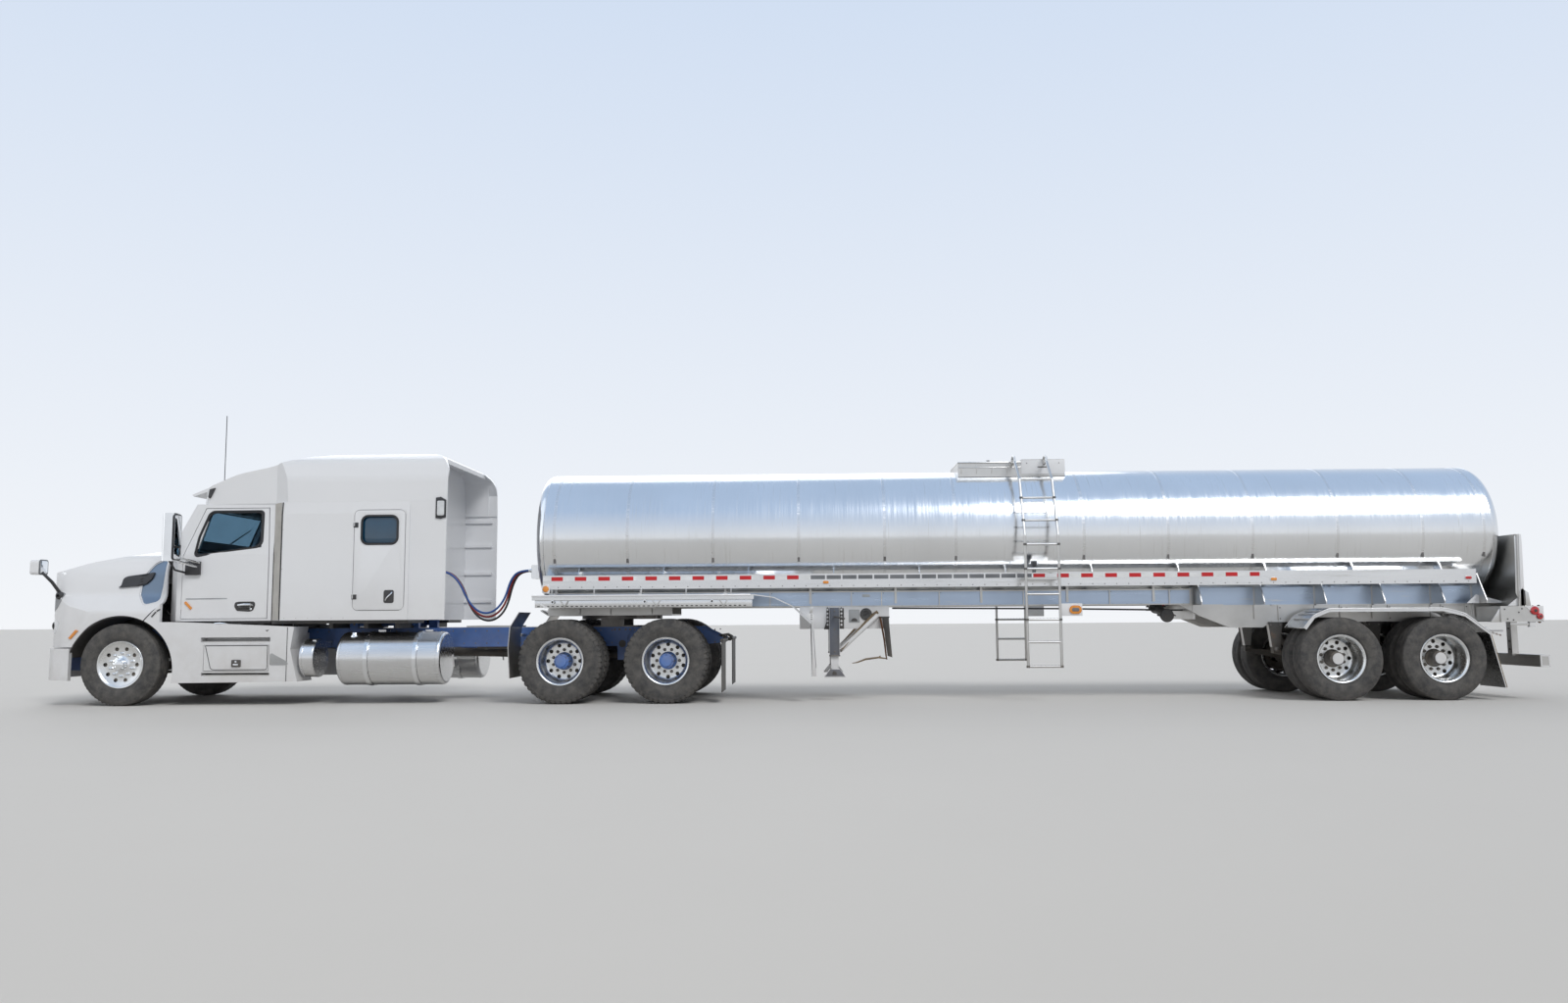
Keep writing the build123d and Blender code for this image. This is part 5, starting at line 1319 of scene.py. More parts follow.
def bulged(name, outline, low, high, crown, channels, finish, place, steps=(26, 14)):
    """A stuffed pad: a closed form whose top swells between its seams and whose sides pull in."""
    n, m = steps
    width, depth = outline
    top, bottom = [], []
    for i in range(n + 1):
        u = i / n
        for k in range(m + 1):
            v = k / m
            x, y = (u - 0.5) * width, (v - 0.5) * depth
            edge = min(u, 1 - u, 0.5) * width
            flank = min(v, 1 - v) * depth
            roll = min(1, (min(edge, flank) / 70) ** 0.5) if min(edge, flank) > 0 else 0
            quilt = abs(math.sin(math.pi * channels * u)) ** 0.5 if channels else 1
            soft = 0.5 - 0.5 * math.cos(2 * math.pi * min(u, 1 - u)) if not channels else 1
            z = low + (high - low) * (0.42 + 0.58 * roll)
            z += crown * math.sin(math.pi * u) * math.sin(math.pi * v) * soft
            z -= (1 - quilt) * crown * 0.55 * roll
            pull = 1 - 0.035 * (1 - abs(2 * v - 1)) * (abs(2 * u - 1) ** 6)
            squeeze = 1 - 0.035 * (1 - abs(2 * u - 1)) * (abs(2 * v - 1) ** 6)
            top.append((x * pull, y * squeeze, z))
            bottom.append((x * pull * 0.97, y * squeeze * 0.97, low + 0.12 * (high - low) * (1 - roll)))
    faces, rim = plate_faces(n + 1, m + 1)
    piece = Form().patch([place(*p) for p in top + bottom], faces).place(name, [finish], "tractor", smooth=80)
    seam = [place(top[i][0] * 1.004, top[i][1] * 1.004, (top[i][2] + bottom[i][2]) / 2 + 4) for i in rim]
    Form().tube(seam, 5, 6, closed=True).place(name + "_piping", [SEAT_TRIM], "tractor")


FLOOR = 1116
for name, side in SIDES:
    y0 = side * 540
    form = Form()
    form.use(0).prism([(1230, FLOOR), (1260, 1390), (1540, 1390), (1560, FLOOR)], "y", y0 - 150, y0 + 150)
    for z in range(FLOOR + 40, 1380, 44):
        form.use(0).block(1222, 1566, y0 - 158, y0 + 158, z, z + 24)
    form.use(1).block(1190, 1600, y0 - 225, y0 + 225, 1392, 1440)
    form.use(2).bar((1180, y0 - 120, 1400), (1160, y0 + 120, 1400), 8)
    form.use(1).prism([(1600, 1440), (1662, 1440), (1790, 2200), (1740, 2200)], "y", y0 - 215, y0 + 215)
    base = form.place(f"seat_base_{name}", [BLACK, DASH, STEEL], "tractor", bevel=10)
    if name == "left":
        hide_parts("seats")
    bulged(
        f"cushion_{name}", (470, 480), 1430, 1545, 22, 3, FABRIC, lambda x, y, z,
        y0=y0: (1395 + x, y0 + y, z + 0.06 * -x),
    )
    lean = math.radians(9)
    back = lambda x, y, z, y0=y0: (
        1648 + (x + 300) * math.sin(lean) - z * math.cos(lean), y0 + y,
        1520 + (x + 300) * math.cos(lean) + z * math.sin(lean),
    )
    bulged(f"backrest_{name}", (600, 460), 0, 96, 20, 4, FABRIC, back)
    head = lambda x, y, z, y0=y0: (
        1750 + x * math.sin(lean) - z * math.cos(lean), y0 + y, 2215 + x * math.cos(lean) + z * math.sin(lean),
    )
    bulged(f"headrest_{name}", (150, 280), 0, 80, 12, 0, SEAT_TRIM, head, (12, 12))
    for s in (-1, 1):
        arm = Form().use(0).tube(
            [
                (1640, y0 + s * 252, 1640), (1500, y0 + s * 258, 1668), (1400, y0 + s * 258, 1670),
                (1360, y0 + s * 256, 1660),
            ],
            [22, 30, 30, 20], 12, flat=0.8,
        )
        arm.place(f"armrest_{name}_{'in' if s == -side else 'out'}", [SEAT_TRIM], "tractor")

form = Form()
form.use(0).block(2560, 3585, -1138, 1138, FLOOR, 1500)
for y in (-760, 0, 760):
    form.use(1).prism(rounded(y - 330, y + 330, 1160, 1440, 24), "x", 2552, 2562)
    form.use(2).bar((2548, y - 50, 1410), (2548, y + 50, 1410), 6)
form.place("bunk_base", [DASH, BLACK, CHROME], "tractor", bevel=6)
bulged("mattress", (1010, 2260), 1500, 1628, 20, 5, FABRIC, lambda x, y, z: (3068 + x, y, z), (40, 40))
bulged("pillow", (380, 640), 1630, 1720, 40, 0, TAPE_WHITE, lambda x, y, z: (3300 + x, y - 700, z), (16, 16))

# Dashboard and driver's controls

form = Form()
form.use(0).prism([(560, 1962), (700, 1964), (862, 1806), (850, 1790), (690, 1945), (560, 1945)], "y", -852, 852)
DIALS = ((-660, 1868, 44), (-560, 1868, 44), (-460, 1868, 44), (-700, 1790, 24))
DIALS += ((-640, 1784, 24), (-500, 1784, 24), (-440, 1784, 24))
for y, z, r in DIALS:
    x = 782 + (1868 - z) * 0.75
    form.use(1).turned([(r + 8, -6), (r + 8, 10), (r, 12), (r, 6), (TIP, 6)], (x, y, z), "x", 24)
    form.use(3).bar((x + 9, y, z), (x + 9, y + r * 0.6, z + r * 0.5), 2, 6)
for row in range(2):
    for k in range(6):
        y = -330 + 62 * k
        form.use(1).block(812 + row * 12, 830 + row * 12, y, y + 46, 1730 - 70 * row, 1780 - 70 * row)
form.use(1).block(824, 842, 80, 330, 1610, 1780)
form.use(2).block(822, 838, 420, 780, 1600, 1760)
for y in (-760, 380, 760):
    form.use(1).block(790, 815, y - 50, y + 50, 1850, 1900)
for y in (-660, -560, -420):
    form.use(4).prism(rounded(y - 34, y + 34, 1170, 1290, 12), "x", 700, 712)
    form.use(4).bar((640, y, 1330), (702, y, 1230), 9)
form.use(1).tube([(1150, 30, FLOOR), (1150, 20, 1400), (1130, 10, 1640)], [40, 12, 10], 12)
form.use(1).turned([(TIP, -34), (22, -28), (32, 0), (24, 26), (TIP, 34)], (1130, 10, 1660), "z", 16)
form.use(0).block(620, 2540, -930, 930, FLOOR - 6, FLOOR + 4)
form.place("dash_details", [DASH, BLACK, DASH, TAPE_WHITE, STEEL], "tractor", bevel=3)

# Trailer barrel and rails

BANDS = (5420, 6361, 7459, 8557, 9655, 10560, 12180, 13240, 14300, 15360, 16420, 17180)
form = Form()
for x in BANDS:
    form.use(0).turned(
        [(TANK_R - 1, -19), (TANK_R + 2.2, -16), (TANK_R + 2.2, 16), (TANK_R - 1, 19)], (x, 0, TANK_Z), "x", 128,
        closed=True,
    )
    for _ in form.sides():
        a = math.radians(-20)
        y, z = (TANK_R + 2) * math.cos(a), TANK_Z + (TANK_R + 2) * math.sin(a)
        form.use(1).block(x - 14, x + 14, y - 8, y + 8, z - 34, z + 34)
for x in (5282, 17290):
    form.use(0).turned([(TANK_R - 1, -6), (TANK_R + 3, 0), (TANK_R - 1, 6)], (x, 0, TANK_Z), "x", 128, closed=True)
for _ in form.sides():
    a = math.radians(-62)
    y, z = TANK_R * math.cos(a), TANK_Z + TANK_R * math.sin(a)
    form.use(0).tube([(5300, y, z), (17300, y, z)], 5, 6)
form.place("barrel_bands", [BRIGHT, STEEL], "trailer")

form = Form()
for _ in form.sides():
    face = 960
    x = 5260
    k = 0
    while x < 14330:
        faded = 8700 <= x < 11336
        kind = 2 if faded else (0 if k % 2 else 1)
        wide = 146 if not faded else 180
        if not (11330 < x < 11420):
            form.use(kind).block(max(x, 5302), min(x + wide, 14330), face, face + 1.2, 1534, 1584)
        x += 150 if not faded else 200
        k += 1
    for i in range(78):
        form.use(3).dome((5350 + 150 * i, face, 1452), 7, "y", 1, 4, 8, 2)
    form.use(4).block(5300, 17000, face, face + 3, 1596, 1604)
    form.use(4).block(5300, 17000, face, face + 3, 1426, 1434)
form.place("rail_tape", [TAPE_RED, TAPE_WHITE, GREY, STEEL, BRIGHT], "trailer")

form = Form()
for _ in form.sides():
    face = 960
    form.use(1).prism(rounded(5292, 5392, 1376, 1488, 20), "y", face, face + 8)
    form.use(0).turned([(40, 0), (40, 14), (32, 24), (TIP, 28)], (5342, face + 8, 1432), "y", 20)
    for x in (8900, 14500, 16900):
        form.use(1).prism(rounded(x - 46, x + 46, 1470, 1520, 14), "y", face, face + 5)
        form.use(3 if x > 16000 else 0).prism(rounded(x - 36, x + 36, 1478, 1512, 14), "y", face + 5, face + 18)
    form.use(2).block(11500, 11540, face - 10, face + 30, 1600, 1640)
    form.use(2).prism(rounded(11480, 11556, 1640, 1745, 8), "y", face + 6, face + 36)
    form.use(4).prism(rounded(11496, 11540, 1668, 1732, 6), "y", face + 34, face + 40)
    form.use(1).prism(rounded(11795, 12050, 1052, 1204, 6), "y", 1233, 1238)
    form.use(0).prism(rounded(11890, 12040, 1076, 1180, 50), "y", 1237, 1252)
    form.use(2).prism(rounded(11920, 12010, 1106, 1150, 20), "y", 1251, 1255)
form.place("side_lamps", [AMBER, WHITE, GREY, RED, BLACK], "trailer", bevel=1.5)

# Deck over the manhole

form = Form()
z1 = TANK_TOP + 122
for _ in form.sides():
    y = 430
    form.use(1).block(11490, 12056, y, y + 2.5, TANK_TOP - 70, z1 - 10)
    form.use(0).tube([(10660, y, TANK_TOP + 84), (11484, y, TANK_TOP + 84)], 11, 8)
    form.use(0).tube([(10660, y, TANK_TOP + 20), (11484, y, TANK_TOP + 20)], 7, 8)
    for x in (10700, 10900, 11100, 11300, 11450):
        form.use(0).bar((x, y, TANK_TOP - 60), (x, y, TANK_TOP + 84), 6, 8)
    for x in (11560, 11770, 11980):
        form.use(2).bolt((x, y + 2, TANK_TOP + 70), "y", 1, 12, 5)
form.use(0).tube([(10664, -430, TANK_TOP + 84), (10664, 430, TANK_TOP + 84)], 11, 8)
form.use(1).block(12056, 12058.5, -428, 428, TANK_TOP - 100, z1 - 10)
form.use(1).block(11492, 12054, -426, 426, z1 - 4, z1 + 1)
form.use(2).block(11700, 11840, -431, -434, TANK_TOP + 10, TANK_TOP + 26)
for y in (-300, 0, 300):
    form.use(0).turned(
        [(46, 0), (46, 50), (60, 56), (60, 80), (40, 96), (TIP, 100)], (10820, y, TANK_TOP - 8 - abs(y) * 0.16), "z",
        24,
    )
for x in range(11520, 12040, 40):
    form.use(0).block(x, x + 12, -400, 400, z1 + 1, z1 + 4)
form.place("deck_trim", [ALU, WHITE, STEEL], "trailer", bevel=1)

form = Form()
for i in range(6):
    a = math.radians(60 * i + 30)
    x, y = 11080 + 262 * math.cos(a), 262 * math.sin(a)
    form.use(0).turned([(16, 0), (16, 16), (10, 20), (10, 36), (TIP, 38)], (x, y, LID_TOP), "z", 14)
    form.use(0).bar(
        (x - 26 * math.sin(a), y + 26 * math.cos(a), LID_TOP + 30),
        (x + 26 * math.sin(a), y - 26 * math.cos(a), LID_TOP + 30), 5, 8,
    )
form.use(1).tube(
    [
        (10900, -60, LID_TOP - 2), (10880, -50, LID_TOP + 26), (10880, 50, LID_TOP + 26), (10900, 60, LID_TOP - 2),
    ], 8, 8,
)
form.use(1).turned([(60, 8), (60, 22), (48, 30), (TIP, 32)], (11080, 0, LID_TOP), "z", 24)
form.use(1).turned([(286, -24), (289, -20), (289, -6), (286, -2)], (11080, 0, LID_TOP), "z", 64, closed=True)
form.place("lid_trim", [STEEL, ALU], "manhole_lid", bevel=1)

# Ladders

form = Form()
for _ in form.sides():
    for x in (11370, 11780):
        form.use(0).tube([(x, 640, 3040), (x, 600, 3110), (x, 520, 3140), (x, 440, 3110), (x, 432, 3050)], 15, 10)
        for y, z in ((1235, 434), (1235, 1008), (1235, 1635), (1235, 1938), (1160, 2243), (1046, 2536)):
            form.use(1).turned([(23, -14), (23, 14)], (x, y, z), "z", 14)
            for end in (-14, 14):
                form.use(1).turned([(TIP, end), (23, end)], (x, y, z), "z", 14)
    for z in (434, 732, 1008, 1321, 1635, 1938):
        for k in range(9):
            form.use(0).dome((11402 + 43 * k, 1235, z + 14), 8, "z", 1, 4, 8, 2)
form.place("ladder_trim", [ALU, STEEL], "trailer")

# Belly beams, fenders over the drive wheels and the coupler

form = Form()
for _ in form.sides():
    y = 600
    for x in (5980, 7060, 8180, 8713, 9230, 9620, 10360, 11440, 12540, 13300):
        form.use(0).block(x - 6, x + 6, y, y + 22, 1196, 1382)
        form.use(1).bolt((x + 22, y, 1360), "y", 1, 12, 5)
    for z in (1188, 1377):
        form.use(0).block(5300, 13585, y, y + 24, z, z + 12)
    for x in range(5380, 13500, 180):
        form.use(1).dome((x, y + 12, 1200), 6, "z", 1, 4, 6, 2)
    form.use(2).prism(rounded(9370, 9470, 1310, 1345, 6), "y", y, y + 2)
    form.use(3).block(5310, 13560, y - 1, y + 1.5, 1202, 1374)
form.place("belly_trim", [ALU, STEEL, LIGHT_GREY, BLUE_SHEET], "trailer")

form = Form()
for _ in form.sides():
    out = 1220
    form.use(0).tube([(5225, out, 1338), (7960, out, 1338)], 14, 8)
    for x in (5420, 5960, 6560, 7130, 7700):
        form.use(1).block(x - 8, x + 8, 966, 974, 1344, 1432)
        form.use(1).bolt((x, 975, 1420), "y", 1, 12, 5)
        form.use(1).bolt((x, 960, 1346), "z", 1, 12, 6)
    for x in (5485, 6640, 7480):
        form.use(2).turned([(24, 0), (24, 7), (13, 7), (13, 0)], (x, 1221, 1262), "y", 18, closed=True)
        form.use(4).disc(13, 3, (x, 1221, 1262), "y", 14)
        form.use(1).ribbon([(x + 95, 1213, 1282), (x + 150, 1209, 1196)], OUT, 13, 6)
        form.use(1).ribbon([(x + 190, 1213, 1282), (x + 150, 1209, 1196)], OUT, 13, 6)
    form.use(3).block(5260, 7980, 1196, 1204, 1194, 1290)
    for k in range(44):
        x = 5290 + 60 * k
        form.use(4).prism(rounded(x, x + 34, 1203, 1215, 5), "y", 1203, 1206.5)
    form.use(0).prism(
        [(5320, 1240), (5345, 1244), (5392, 1206), (5420, 1206), (5420, 1190), (5384, 1188)], "y", 1180, 1210,
    )
    form.use(0).prism(
        [(8650, 1052), (8714, 1000), (8740, 1010), (8748, 1080), (8722, 1104), (8668, 1100)], "y", 1150, 1196,
    )
    form.use(1).prism([(8690, 1104), (8722, 1104), (8742, 1188), (8700, 1188)], "y", 1100, 1110)
    for z in (1030, 1060, 1085):
        form.use(4).bolt((8716, 1196, z), "y", 1, 12, 5)
    for x in (5700, 6300, 6900, 7500, 8100):
        drop = 0 if x < 7900 else 22
        form.use(0).block(x - 9, x + 9, 724, 1214, 1345 - drop, 1349 - drop)
    form.use(0).prism([(8700, 975), (8728, 975), (8772, 330), (8718, 330)], "y", 1188, 1200)
    form.use(1).block(8702, 8706, 730, 1196, 900, 985)
    for y in (790, 930, 1070, 1170):
        form.use(4).bolt((8702, y, 940), "x", -1, 16, 7)
    form.use(0).block(8718, 8722, 722, 1198, 322, 360)
form.place("front_fender_trim", [WHITE, ALU, CHROME, BRIGHT, BLACK], "trailer", bevel=1)

form = Form()
for _ in form.sides():
    form.use(0).block(5290, 6890, 520, 548, 1094, 1100)
    for x in (5700, 6100, 6640):
        form.use(0).prism([(x - 6, 1112), (x + 6, 1112), (x + 6, 1186), (x - 6, 1186)], "y", 300, 540)
    form.use(1).bar((5292, 470, 1104), (5180, 470, 1164), 12)
for x in (5900, 6300):
    form.use(1).bolt((x, 0, 1110), "z", 1, 34, 16)
for k in range(3):
    form.use(2).turned(
        [(26, 0), (26, 18), (20, 22), (20, 34), (TIP, 34)], (4992, -300 + 70 * k, 1700), "x", 18, sign=-1,
    )
form.use(3).prism(rounded(-352, -108, 1598, 1762, 14), "x", 5006, 5011)
form.use(1).prism(rounded(-410, -392, 1600, 1760, 8), "x", 5120, 5168)
form.place("coupler_trim", [ALU, STEEL, CHROME, LIGHT_GREY], "trailer", bevel=1)

# Landing gear

form = Form()
for side in form.sides():
    face = 702
    form.use(0).block(8562, 9708, face - 1, face + 1.5, 908, 1186)
    form.use(2).prism(
        [
            (8870, 900), (8905, 1000), (8905, 1168), (9128, 1168), (9128, 905), (9070, 905), (9070, 1160),
            (8940, 1160), (8940, 900),
        ],
        "y", face, face + 10,
    )
    for x in (8920, 9096):
        for z in (958, 1006, 1054, 1102, 1150):
            form.use(0).disc(13, 3, (x, face + 10, z), "y", 14)
            form.use(3).bolt((x, face + 10, z + 24), "y", 1, 12, 5)
    leg = 810
    form.use(1).block(8944, 9066, leg - 1, leg + 3, 562, 1176)
    for x in (8946, 9056):
        form.use(1).block(x, x + 8, leg, leg + 8, 566, 1170)
    form.use(3).block(8936, 9074, leg - 124, leg + 6, 560, 580)
    for z in (620, 900, 1130):
        form.use(3).bolt((9005, leg + 3, z), "y", 1, 18, 8)
    shoe = 745
    form.use(0).prism([(8872, 300), (9138, 300), (9138, 309), (8872, 309)], "y", shoe - 104, shoe + 104)
    form.use(1).prism([(8880, 312), (9130, 312), (9067, 398), (8943, 398)], "y", shoe + 96, shoe + 104)
    form.use(4).prism(
        soft_corners([(8968, 330), (9030, 330), (9024, 372), (8980, 380)], 14), "y", shoe + 103, shoe + 106,
    )
    form.use(3).tube([(8960, shoe - 60, 398), (8960, shoe + 60, 398)], 12, 10)
    if side < 0:
        form.use(5).prism(rounded(9192, 9330, 985, 1150, 8), "y", face, face + 7)
        form.use(4).prism(arc(9262, 1000, 42, 0, 180, 10), "y", face + 6, face + 9)
        form.use(2).turned([(76, 0), (76, 14), (66, 22), (40, 24), (36, 16), (TIP, 16)], (9412, face, 1092), "y", 28)
        form.use(4).bar((9390, face + 22, 1080), (9440, face + 22, 1112), 8)
        for x, z in arc(9412, 1092, 58, 0, 300, 5):
            form.use(3).bolt((x, face + 22, z), "y", 1, 9, 4)
    form.use(6).tube(
        [(9076, 772, 628), (9110, 752, 668), (9490, 716, 1080), (9560, 712, 1120)], [36, 30, 32, 46], 12, flat=0.4,
    )
    form.use(3).bolt((9520, 728, 1096), "y", 1, 26, 12)
    form.use(3).bolt((9090, 790, 640), "y", 1, 26, 12)
form.use(3).bar((9005, 702, 1040), (9005, 900, 1040), 16)
form.use(3).tube([(9005, -812, 1060), (9005, -880, 1060), (9120, -900, 1040), (9126, -960, 1036)], 11, 10)
form.use(7).tube(
    [(9590, -720, 1040), (9600, -735, 1000), (9640, -735, 760), (9660, -728, 560), (9668, -726, 516)],
    [50, 66, 62, 50, 40], 10, flat=0.16,
)
# A dark plate just inboard of the rusted strap: painted shadow of the strap
form.use(2).prism(
    [(9560, 1040), (9620, 1040), (9680, 560), (9740, 540), (9700, 1040), (9712, 1050), (9712, 1060), (9560, 1060)],
    "y", -706, -716,
)
form.use(6).tube(
    [(9225, -728, 470), (9290, -730, 480), (9400, -732, 520), (9560, -732, 540), (9668, -730, 526)],
    [8, 18, 26, 24, 14], 10, flat=0.5,
)
form.use(6).bar((9575, -732, 560), (9590, -732, 530), 12)
form.place("landing_gear_trim", [WHITE, SLATE, DARK, STEEL, BLACK, LIGHT_GREY, TAN, RUST], "trailer", bevel=1.2)

# Rear fenders, subframe and running gear

form = Form()
crown = cornered(FENDER_TOP)
for _ in form.sides():
    out = 1220
    form.use(0).tube([(x, out, z - 7) for x, z in crown], 9, 8)
    form.use(0).tube([(x, 624, z - 6) for x, z in crown], 7, 8)
    for k in range(3, len(crown) - 3, 3):
        x, z = crown[k]
        form.use(1).block(x - 6, x + 6, 640, 1206, z - 3, z + 2)
    for x, z in ((14810, 992), (14880, 1052), (14960, 1088)):
        form.use(0).ribbon([(x, 700, z + 4), (x, 1200, z + 4)], (0, 0, 1), 26, 6)
    for x in (15300, 15800, 16300):
        form.use(2).bolt((x, 1150, 1126), "z", 1, 16, 8)
        form.use(1).block(x - 30, x + 30, 545, 640, 1074, 1080)
    flap = [(16994, 815), (17004, 815), (17156, 160), (17146, 160)]
    form.use(3).prism(flap, "y", 648, 1194)
    form.use(4).prism([(17000, 800), (17010, 800), (17160, 152), (17150, 152)], "y", 1194, 1202)
    form.use(0).prism(
        [(16940, 862), (16996, 822), (17150, 822), (17150, 850), (17020, 850), (16960, 890)], "y", 1150, 1200,
    )
    form.use(0).block(16985, 17150, 640, 1200, 836, 846)
    for y in (700, 860, 1020, 1160):
        form.use(2).bolt((17010, y, 846), "z", 1, 16, 8)
    for k in range(6):
        x = 17020 + 22 * k
        form.use(5).ring(6, 11, -3, 3, (x, 1170, 820 - 7 * k), "y" if k % 2 else "z", 12)
form.place("rear_fender_trim", [WHITE, BRIGHT, STEEL, BLACK, TAN, RUST], "trailer", bevel=1)

form = Form()
for _ in form.sides():
    y = 540
    for z in (958, 1168):
        form.use(0).block(14610, 17170, y, y + 20, z, z + 12)
    for x in (14700, 15480, 16090, 16760, 17060):
        form.use(0).block(x - 5, x + 5, y, y + 18, 968, 1170)
        form.use(1).bolt((x + 24, y, 1140), "y", 1, 14, 6)
        form.use(1).bolt((x + 24, y, 1000), "y", 1, 14, 6)
    for x in TRAILER_X:
        hanger = x - 540
        form.use(2).prism(
            [(hanger - 90, 958), (hanger + 90, 958), (hanger + 50, 628), (hanger - 50, 628)], "y", 552, 562,
        )
        form.use(1).bolt((hanger, 562, 612), "y", 1, 54, 24)
        form.use(1).bar((hanger, 430, 612), (hanger, 566, 612), 18)
        for a in (-60, 60):
            form.use(1).bolt((hanger + a, 562, 920), "y", 1, 18, 8)
        form.use(3).turned(
            [(86, 0), (96, 30), (100, 80), (88, 120), (100, 160), (104, 230), (94, 300), (86, 330), (86, 360)],
            (x + 250, 500, 580), "z", 28,
        )
        form.use(1).disc(105, 14, (x + 250, 500, 941), "z", 28)
        form.use(1).disc(90, 16, (x + 250, 500, 564), "z", 28)
        for a in (-55, 55):
            form.use(1).tube(
                [(x + a, 436, 600), (x + a, 436, 440), (x + a, 500, 418), (x + a, 564, 440), (x + a, 564, 600)], 9, 8,
            )
            form.use(1).bolt((x + a, 436, 600), "z", 1, 24, 14)
            form.use(1).bolt((x + a, 564, 600), "z", 1, 24, 14)
        form.use(1).block(x - 85, x + 85, 420, 580, 588, 600)
        form.use(2).tube([(x - 220, 400, 900), (x - 60, 400, 660)], [40, 40], 14)
        form.use(1).tube([(x - 60, 400, 660), (x + 10, 400, 560)], 14, 10)
        form.use(1).bolt((x - 228, 400, 912), "y", 1, 40, 20)
        form.use(2).turned(BRAKE_CHAMBER, (x + 190, 330, 505), "x", 24)
        form.use(1).bar((x + 190, 330, 505), (x + 70, 380, 505), 12)
        form.use(1).bar((x + 70, 380, 505), (x + 30, 640, 500), 22)
        form.use(3).tube([(x + 260, 330, 590), (x + 290, 320, 700), (x + 330, 200, 900), (x + 330, 60, 960)], 11, 8)
        form.use(3).tube([(x + 230, 345, 595), (x + 250, 330, 720), (x + 290, 180, 930), (x + 290, 60, 985)], 9, 8)
for _ in form.sides():
    form.use(5).block(13585, 17170, 541, 547, 1180, 1402)
    form.use(0).prism([(13430, 1188), (14000, 1188), (14180, 892), (14060, 896), (13690, 1046)], "y", 541, 549)
    form.use(0).ribbon(
        [(13430, 560, 1188), (13690, 560, 1042), (14060, 560, 892), (14185, 560, 888)], (0, 0, 1), 60, 8,
    )
for x in TRAILER_X:
    for _ in form.sides():
        form.use(2).turned([(67, -12), (110, -6), (110, 6), (67, 12)], (x, 660, TRAILER_R), "y", 28, closed=True)
        form.use(1).bolt((x - 90, 650, TRAILER_R + 40), "y", 1, 20, 10)
for x, y in ((15560, -240), (15560, 240)):
    form.use(4).turned(
        [(TIP, -372), (70, -360), (118, -330), (124, -300), (124, 300), (118, 330), (70, 360), (TIP, 372)],
        (x, y, 1075), "x" if y else "y", 36,
    )
    for t in (-230, 230):
        place = (x + t, y, 1075) if y else (x, t, 1075)
        form.use(1).ring(125, 129, -20, 20, place, "x" if y else "y", 36)
    form.use(1).block(
        x - 200 if y else x - 30, x + 200 if y else x + 30, y - 30 if y else -200, y + 30 if y else 200, 1198, 1226,
    )
for y in (-430, 430):
    form.use(3).tube(
        [(9800, y * 0.3, 1170), (12000, y * 0.3, 1150), (13600, y * 0.3, 1120), (15200, y * 0.3, 1040)], 10, 8,
    )
form.place("running_gear", [ALU, STEEL, IRON, HOSE, DARK, BLUE_SHEET], "trailer")

# Rear end

form = Form()
for _ in form.sides():
    slope = [(17440, 1140), (17470, 2022), (17496, 2022), (17500, 1900), (17486, 1140)]
    form.use(0).prism(slope, "y", 1080, 1108)
    form.use(1).prism([(17400, 1300), (17430, 2005), (17468, 2005), (17440, 1200)], "y", 1074, 1081)
    form.use(0).prism([(16990, 1180), (17110, 1290), (17440, 1200), (17440, 1180)], "y", 720, 728)
    form.use(0).prism([(17300, 1142), (17440, 1250), (17440, 1142)], "y", 1060, 1070)
    form.use(1).prism([(17436, 1137), (17436, 1330), (17470, 1352), (17540, 1300), (17560, 1137)], "y", 1100, 1108)
    form.use(2).prism(rounded(17478, 17500, 1150, 1330, 10), "y", 1107, 1109.5)
    y = 1120
    form.use(0).prism([(17470, 1137), (17697, 1137), (17697, 948)], "y", y, y + 5)
    for x, z, r in ((17590, 1080, 46), (17648, 1012, 32)):
        form.use(3).turned([(r + 6, 0), (r + 6, 8), (r, 12), (r * 0.9, 18), (TIP, 24)], (x, y + 5, z), "y", 24)
        form.use(2).turned([(r * 0.42, 0), (r * 0.42, 3), (TIP, 3)], (x, y + 26, z), "y", 12)
    for x, z in ((17230, 1100), (17260, 980), (17400, 1060), (17440, 1105), (17330, 968)):
        form.use(4).bolt((x, y, z), "y", 1, 16, 6)
    form.use(1).prism([(17060, 940), (17190, 1130), (17200, 1130), (17200, 940)], "y", 1090, 1104)
    form.use(0).block(17530, 17600, 1060, 1110, 880, 944)
    form.use(1).block(17300, 17530, 1070, 1100, 900, 930)
    for z, kind in ((1100, 3), (1035, 3), (978, 5)):
        form.use(kind).turned(REAR_LAMP, (REAR_X, 1020, z), "x", 24)
        form.use(2).ring(46, 52, 0, 3, (REAR_X, 1020, z), "x", 24)
        form.use(kind).turned(REAR_LAMP, (REAR_X, 900, z), "x", 24)
    form.use(6).prism(rounded(200, 320, 990, 1090, 8), "x", REAR_X, 17703)
for k in range(3):
    form.use(3).prism(rounded(-150 + 110 * k, -70 + 110 * k, 1085, 1112, 12), "x", REAR_X, 17712)
w, h = 304.8, 152.4
form.use(6).prism(rounded(-640 - w / 2, -640 + w / 2, 1041 - h / 2, 1041 + h / 2, 8), "x", 17700.4, 17702)
form.use(1).frame_ring(
    rounded(-640 - w / 2 - 8, -640 + w / 2 + 8, 1041 - h / 2 - 8, 1041 + h / 2 + 8, 12), "x", 17700.4, 17706, 12,
)
for a in (-1, 1):
    for b in (-1, 1):
        form.use(4).bolt((17702, -640 + a * 88.9, 1041 + b * 60.3), "x", 1, 12, 5)
for k in range(15):
    y = -1140 + 152 * k
    form.use(3 if k % 2 else 6).block(17718.6, 17719.9, y, y + 150, 440, 490)
for k in range(12):
    y = -1080 + 180 * k
    form.use(7 if k % 2 else 6).block(REAR_X, 17701.2, y, y + 178, 948, 962)
